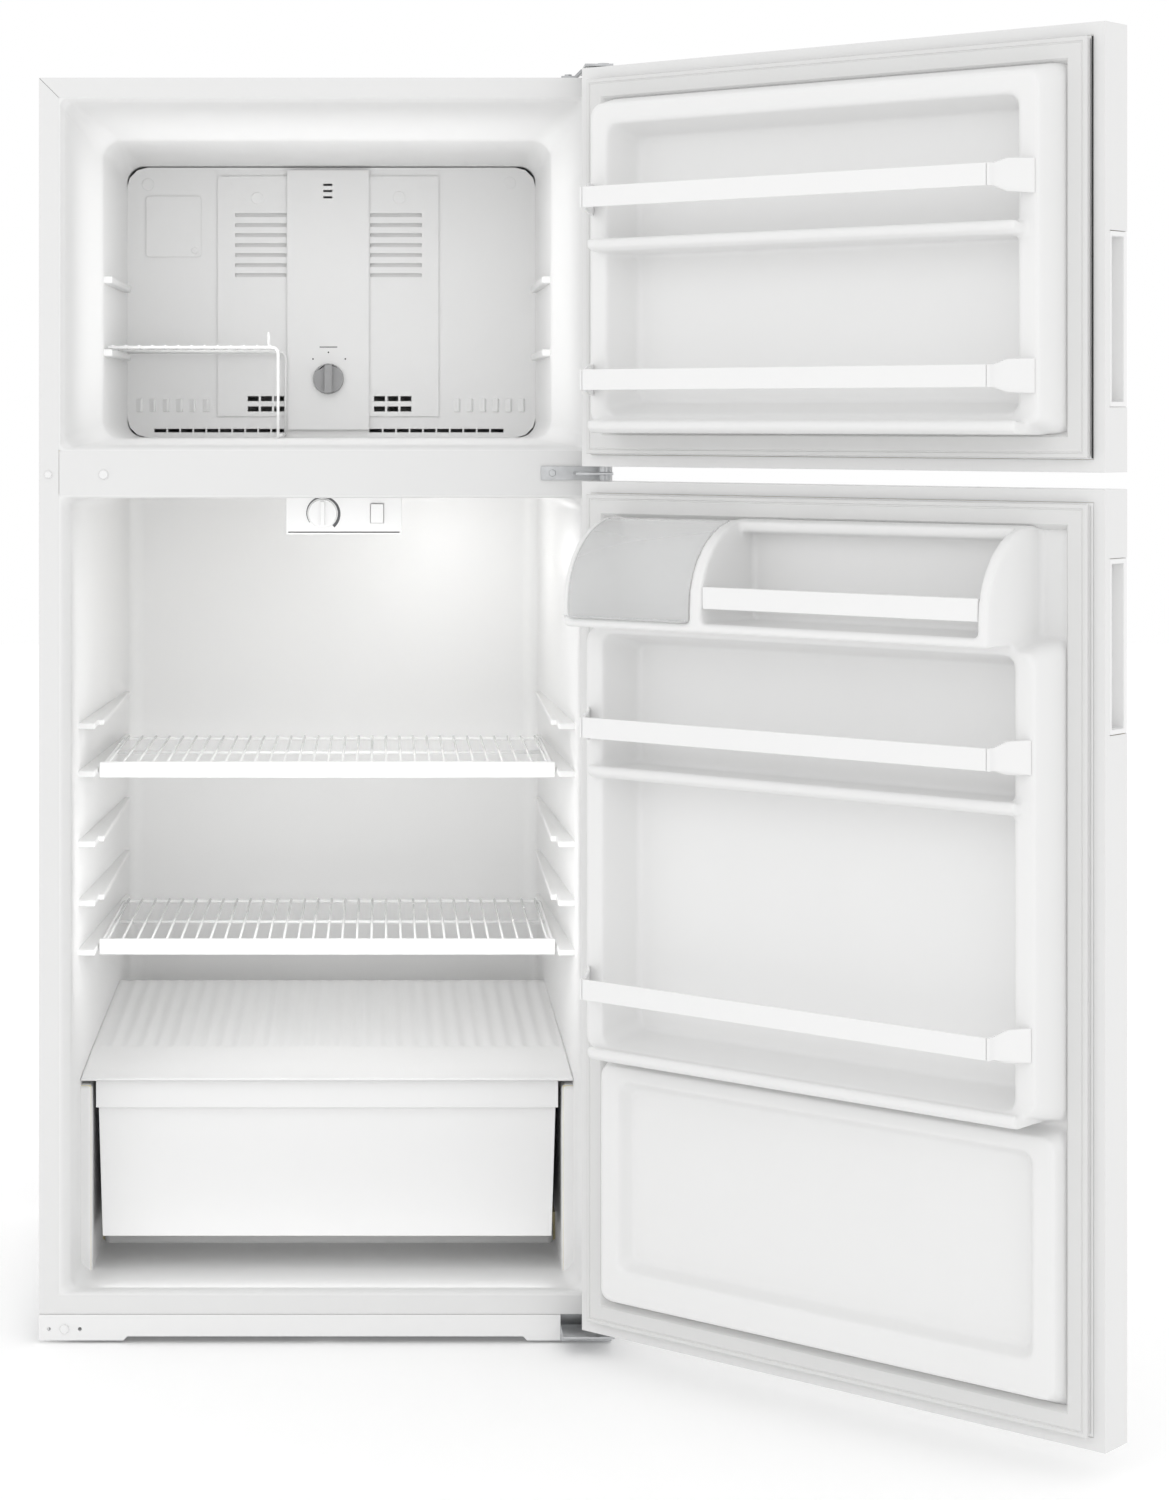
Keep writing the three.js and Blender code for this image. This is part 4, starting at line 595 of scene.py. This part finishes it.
def crisper_cover():
    """The sloped sheet over the crisper, ribbed from its bend to its back edge."""
    low, high = cabinet_box("crisper_cover")
    thickness = 3
    front_half, back_half = high.x - 1, high.x - 17
    bend = low.y + 110
    ribs, per_rib, rib_height = 30, 8, 0.9
    columns = ribs * per_rib
    # (y, height, share of the ribs' full depth) from front to back
    sections = [(low.y + 0.6, 306, 0), (low.y + 4, 306.6, 0), (bend - 10, 322, 0), (bend, 324, 0),
                (bend + 5, 324.8, 0.4), (bend + 10, 325.6, 1), (high.y - 12, 360.4, 1),
                (high.y - 0.6, 361.7, 0.2)]
    span = high.y - low.y
    verts = []
    for level in (0, 1):
        for y, z, depth in sections:
            half = front_half + (back_half - front_half) * (y - low.y) / span
            for i in range(columns + 1):
                share = i / columns
                wave = math.sin(share * ribs * math.tau) * rib_height * depth
                lift = wave - 1 if depth else -0.3
                verts.append((-half + 2 * half * share, y, z - level * thickness + lift))
    row, layer = columns + 1, (columns + 1) * len(sections)
    faces = []
    for s in range(len(sections) - 1):
        for i in range(columns):
            a = s * row + i
            faces.append([a, a + 1, a + row + 1, a + row])
            faces.append([layer + a, layer + a + row, layer + a + row + 1, layer + a + 1])
        for i in (s * row, s * row + columns):
            faces.append([i, i + row, layer + i + row, layer + i])
    last = (len(sections) - 1) * row
    for i in range(columns):
        faces.append([i, layer + i, layer + i + 1, i + 1])
        faces.append([last + i, last + i + 1, layer + last + i + 1, layer + last + i])
    made = piece("crisper_cover_sheet", verts, faces, "cabinet", "trim_plastic")
    made.modifiers.new("shading", "WEIGHTED_NORMAL")
    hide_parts("crisper_cover")


# ---------------------------------------------------------------- doors
def cut_away(shape, point, normal):
    """Drops the part of a bmesh that lies behind a plane."""
    bmesh.ops.bisect_plane(shape, geom=shape.verts[:] + shape.edges[:] + shape.faces[:],
                           plane_co=point, plane_no=normal, clear_inner=True)


def separate_parts(shape):
    """The connected parts of a bmesh, as lists of vertices."""
    parts, seen = [], set()
    for first in shape.verts:
        if first in seen:
            continue
        stack, part = [first], []
        seen.add(first)
        while stack:
            at = stack.pop()
            part.append(at)
            for edge in at.link_edges:
                other = edge.other_vert(at)
                if other not in seen:
                    seen.add(other)
                    stack.append(other)
        parts.append(part)
    return parts


def width_along_x(verts):
    """How far some vertices of a bmesh reach along X."""
    return max(v.co.x for v in verts) - min(v.co.x for v in verts)


def outer_sheet(door):
    """A bmesh of the outer surface of a door's CAD liner, closed by a deep, wide foot."""
    foot_reach = -12
    spread = 5  # keeps the foot's rounded rim outside the final cut
    rim_margin = 16
    middle = (door["bottom"] + door["top"]) / 2
    shape = bmesh.new()
    shape.from_mesh(NODES[door["body"] + "_liner"].data)
    bmesh.ops.remove_doubles(shape, verts=shape.verts[:], dist=1e-6)
    shape.transform(DOOR.inverted())
    cut_away(shape, (0, reach_y(-1), 0), (0, 1, 0))
    parts = separate_parts(shape)
    outer = max(parts, key=width_along_x)
    rest = [vert for part in parts if part is not outer for vert in part]
    bmesh.ops.delete(shape, geom=rest, context="VERTS")

    def spread_out(vert):
        vert.co.x += math.copysign(spread, vert.co.x)
        vert.co.z += math.copysign(spread, vert.co.z - middle)

    rim = [edge for edge in shape.edges if edge.is_boundary]
    rim_verts = {vert for edge in rim for vert in edge.verts}
    hem_verts = set()
    for vert in rim_verts:
        vert.co.y = reach_y(foot_reach)
        spread_out(vert)
        for edge in vert.link_edges:
            other = edge.other_vert(vert)
            if other not in rim_verts and abs(other.co.y - reach_y(0)) < 0.1:
                hem_verts.add(other)
    for vert in hem_verts:
        beside = abs(vert.co.x) > DOOR_HALF - rim_margin
        if beside or not door["bottom"] + rim_margin < vert.co.z < door["top"] - rim_margin:
            spread_out(vert)
    bmesh.ops.contextual_create(shape, geom=rim)
    bmesh.ops.triangulate(shape, faces=[face for face in shape.faces if len(face.verts) > 4])
    return shape


def moulded_liner(door, voxel=3.0):
    """The door's liner with the soft edges of a thermoformed sheet.

    The outer surface of the CAD liner is remeshed and smoothed, and what stands in front of the
    door's inner face, inside the foot's rounded rim, is kept."""
    node = door["body"] + "_liner"
    edge = 14.3  # from the door's outline to the liner's, behind the gasket
    shape = outer_sheet(door)
    rough = bpy.data.meshes.new("rough")
    shape.to_mesh(rough)
    shape.free()
    made = bpy.data.objects.new(node + "_moulded", rough)
    bpy.context.scene.collection.objects.link(made)
    remesh = made.modifiers.new("remesh", "REMESH")
    remesh.mode = "VOXEL"
    remesh.voxel_size = voxel
    remesh.use_smooth_shade = True
    smooth = made.modifiers.new("smooth", "SMOOTH")
    smooth.factor = 0.5
    smooth.iterations = 5
    bpy.context.view_layer.update()
    final = bpy.data.meshes.new_from_object(made.evaluated_get(bpy.context.evaluated_depsgraph_get()))
    made.modifiers.clear()
    made.data = final
    shape = bmesh.new()
    shape.from_mesh(final)
    cut_away(shape, (0, reach_y(-0.8), 0), (0, 1, 0))
    cut_away(shape, (DOOR_HALF - edge, 0, 0), (-1, 0, 0))
    cut_away(shape, (edge - DOOR_HALF, 0, 0), (1, 0, 0))
    cut_away(shape, (0, 0, door["bottom"] + edge), (0, 0, 1))
    cut_away(shape, (0, 0, door["top"] - edge), (0, 0, -1))
    shape.transform(DOOR)
    shape.to_mesh(final)
    shape.free()
    final.materials.clear()
    final.materials.append(MATERIALS["liner_plastic"])
    for polygon in final.polygons:
        polygon.use_smooth = True
    fewer = made.modifiers.new("fewer_faces", "DECIMATE")
    fewer.ratio = 0.3
    wall = made.modifiers.new("wall", "SOLIDIFY")
    wall.thickness = 1.0 * MM
    wall.offset = -1
    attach(made, door["body"])
    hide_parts(node)


def gasket(door):
    """A magnetic gasket: an outer waist, a broad grooved sealing face and a skirt down to the liner."""
    y0, y1 = INNER_FACE + 0.35, -0.45
    profile = [(2.5, y0), (28, y0), (28.4, y0 + 3.4), (24.6, y1 - 2.2), (22.6, y1),
               (7.4, y1), (6.6, y1 - 1.2), (5.6, y1 - 1.2), (4.8, y1), (1.2, y1), (0.2, y1 - 1.6),
               (0.6, y0 + 8.2), (4.4, y0 + 6.4), (4.8, y0 + 4.6), (1.8, y0 + 2.2)]
    edge = 15.2  # from the door's outline to the gasket's
    low, high = door["bottom"] + edge, door["top"] - edge
    verts, faces = mitred_frame(-DOOR_HALF + edge, DOOR_HALF - edge, low, high, profile)
    made = piece(door["body"] + "_gasket_strip", verts, faces, door["body"], "gasket_rubber", DOOR,
                 smooth=False)
    bevelled(made, 0.4, 2, 20)
    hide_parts(door["body"] + "_gasket")
    if door is FREEZER_DOOR:
        # Painted shadow: a dark strip stands in for the shade the gasket's lip casts into the gap between the
        # gasket and the panel's hem, on the door's free side.
        painted_shadow_strip = block(-DOOR_HALF + edge - 1, -DOOR_HALF + edge, INNER_FACE + 0.1, INNER_FACE + 2.2, low, high)
        piece("freezer_door_gasket_painted_shadow", *painted_shadow_strip, door["body"], "gasket_rubber", DOOR,
              look="dark_mark", smooth=False)


def trim(door, node, bottom):
    """A bar across a bin, with taller tapered brackets that clip onto the raised frame."""
    foot, reach, wall, height = door["dike"] + 0.6, 107.7, 4, 24.6
    tip, heel = DOOR_HALF - 78.5, DOOR_HALF - 54.5
    bar = [(-tip + 1, reach - 1.5), (-tip + 1, reach - wall), (tip - 1, reach - wall), (tip - 1, reach - 1.5)]
    solids = [prism_z([(x, reach_y(r)) for x, r in bar], bottom + 0.8, bottom + height - 0.8)]
    lip = [(-tip + 4, reach), (-tip + 4, reach - 2), (tip - 4, reach - 2), (tip - 4, reach)]
    solids.append(prism_z([(x, reach_y(r)) for x, r in lip], bottom + 0.2, bottom + height))
    for side in (-1, 1):
        low_heel, high_heel = bottom - 6, bottom + height + 7
        outline = [(heel, foot, low_heel), (heel, foot, high_heel), (tip + 7, reach - 26, high_heel - 1),
                   (tip + 1, reach - 9, bottom + height), (tip, reach, bottom + height), (tip, reach, bottom),
                   (tip + 1, reach - 9, bottom), (tip + 7, reach - 26, low_heel + 1)]
        rings = [[(side * (x - shift), reach_y(r), z) for x, r, z in outline] for shift in (0, wall - 0.6)]
        solids.append(lofted(rings))
    made = piece(node + "_bar", *merged(solids), door["body"], "trim_plastic", DOOR)
    bevelled(made, 1.1, 3)
    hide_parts(node)


def dairy_door():
    """The clear quarter-round dairy cover with its pull lip."""
    block_top = FRIDGE_DOOR["top"] - 40
    block_height, floor_thickness = 128, 11.6
    centre, radius, thickness, foot = block_top - 100, 99.7, 2.3, 15
    bottom = block_top - block_height + floor_thickness
    steps = 28
    last = math.radians(80)
    left, right = 112.2, 283.8
    lip_reach, lip_height = 8.4, 2.2
    arc = [(i / steps * last) for i in range(steps + 1)]
    outline = [(reach_y(foot + radius - thickness), bottom), (reach_y(foot + radius), bottom)]
    outline += [(reach_y(foot + radius * math.cos(a)), centre + radius * math.sin(a)) for a in arc]
    inner = radius - thickness
    outline += [(reach_y(foot + inner * math.cos(a)), centre + inner * math.sin(a)) for a in reversed(arc)]
    solids = [prism_x(outline, left, right)]
    lip_root, lip_tip = reach_y(foot + radius), reach_y(foot + radius + lip_reach)
    solids.append(block(left, right, lip_root, lip_tip, bottom, bottom + lip_height))
    made = piece("dairy_cover", *merged(solids), "dairy_flap", "clear_plastic", DOOR)
    made.modifiers.new("shading", "WEIGHTED_NORMAL").keep_sharp = True
    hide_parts("dairy_door")


# ---------------------------------------------------------------- stage, light and camera
def stage_and_light():
    """A pale floor, a white world, two soft studio lamps and fill lamps in the compartments."""
    floor_size, below_the_feet = 24, 0.0006
    bpy.ops.mesh.primitive_plane_add(size=floor_size, location=(0, 0, -below_the_feet))
    floor = bpy.context.object
    floor.name = "floor"
    floor.data.materials.append(material("floor_white", (0.96, 0.96, 0.96), 0.7, blotch=(2, 0.003),
                                         Emission_Color=(1, 1, 1, 1), Emission_Strength=0.1))
    world = bpy.data.worlds.new("studio")
    world.use_nodes = True
    world.node_tree.nodes["Background"].inputs["Color"].default_value = (1, 1, 1, 1)
    world.node_tree.nodes["Background"].inputs["Strength"].default_value = 1.0
    bpy.context.scene.world = world
    bpy.context.scene.view_settings.view_transform = "Standard"

    def area(name, place, target, size, power, height=None):
        light = bpy.data.lights.new(name, "AREA")
        light.shape = "RECTANGLE"
        light.size = size
        light.size_y = height or size
        light.energy = power
        made = bpy.data.objects.new(name, light)
        made.visible_camera = False
        made.visible_glossy = height is None
        made.location = place
        made.rotation_euler = (Vector(target) - Vector(place)).to_track_quat("-Z", "Y").to_euler()
        bpy.context.scene.collection.objects.link(made)

    area("key", (-2.6, -3.4, 3.0), (-0.1, 0, 0.8), 2.2, 13)
    area("fill", (1.8, -4.2, 1.6), (0, 0, 0.8), 2.6, 7.5)
    fill_width, mouth, towards = 0.56, 18, 600
    for name, z, height, power in (("freezer_fill", 1300, 0.34, 0.4), ("fridge_fill_high", 800, 0.4, 0.42),
                                   ("fridge_fill_low", 520, 0.22, 0.46), ("drawer_fill", 80, 0.03, 0.06)):
        area(name, CABINET @ Vector((0, mouth, z)), CABINET @ Vector((0, towards, z)), fill_width, power,
             height)
    lamp = bpy.data.lights.new("compartment_glow", "POINT")
    lamp.energy = 0.3
    lamp.shadow_soft_size = 0.03
    glow = bpy.data.objects.new("compartment_glow", lamp)
    glow_place = Vector((150, 400, 950))
    glow.location = CABINET @ glow_place
    bpy.context.scene.collection.objects.link(glow)


def camera():
    """A level camera in front of the cabinet, its frame shifted to the right and down."""
    lens = bpy.data.cameras.new("camera")
    lens.lens = 76.1
    lens.shift_x = 0.133
    lens.shift_y = -0.221
    made = bpy.data.objects.new("camera", lens)
    eye = Vector((73, -3898, 1136))
    made.location = CABINET @ eye
    made.rotation_euler = (math.pi / 2, 0, 0)
    bpy.context.scene.collection.objects.link(made)
    bpy.context.scene.camera = made


camera()
stage_and_light()
dress_cad_nodes()
freezer_liner()
fridge_liner()
liner_details()
seams()
evaporator_cover_details()
control_details()
for word in ("upper", "lower"):
    fridge_shelf(word)
freezer_shelf()
crisper_cover()
for door in (FREEZER_DOOR, FRIDGE_DOOR):
    moulded_liner(door)
    gasket(door)
LEDGE_RISE, TRIM_ABOVE_LEDGE, TRIM_SPACING = 43, 48, 214
lower_trim = FREEZER_DOOR["bottom"] + LEDGE_RISE + TRIM_ABOVE_LEDGE
upper_trim = lower_trim + TRIM_SPACING
for node, bottom in (("freezer_lower_trim", lower_trim), ("freezer_upper_trim", upper_trim)):
    trim(FREEZER_DOOR, node, bottom)
for node in ("fridge_lower_trim", "fridge_upper_trim"):
    trim(FRIDGE_DOOR, node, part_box(node)[0].z / MM)
dairy_door()
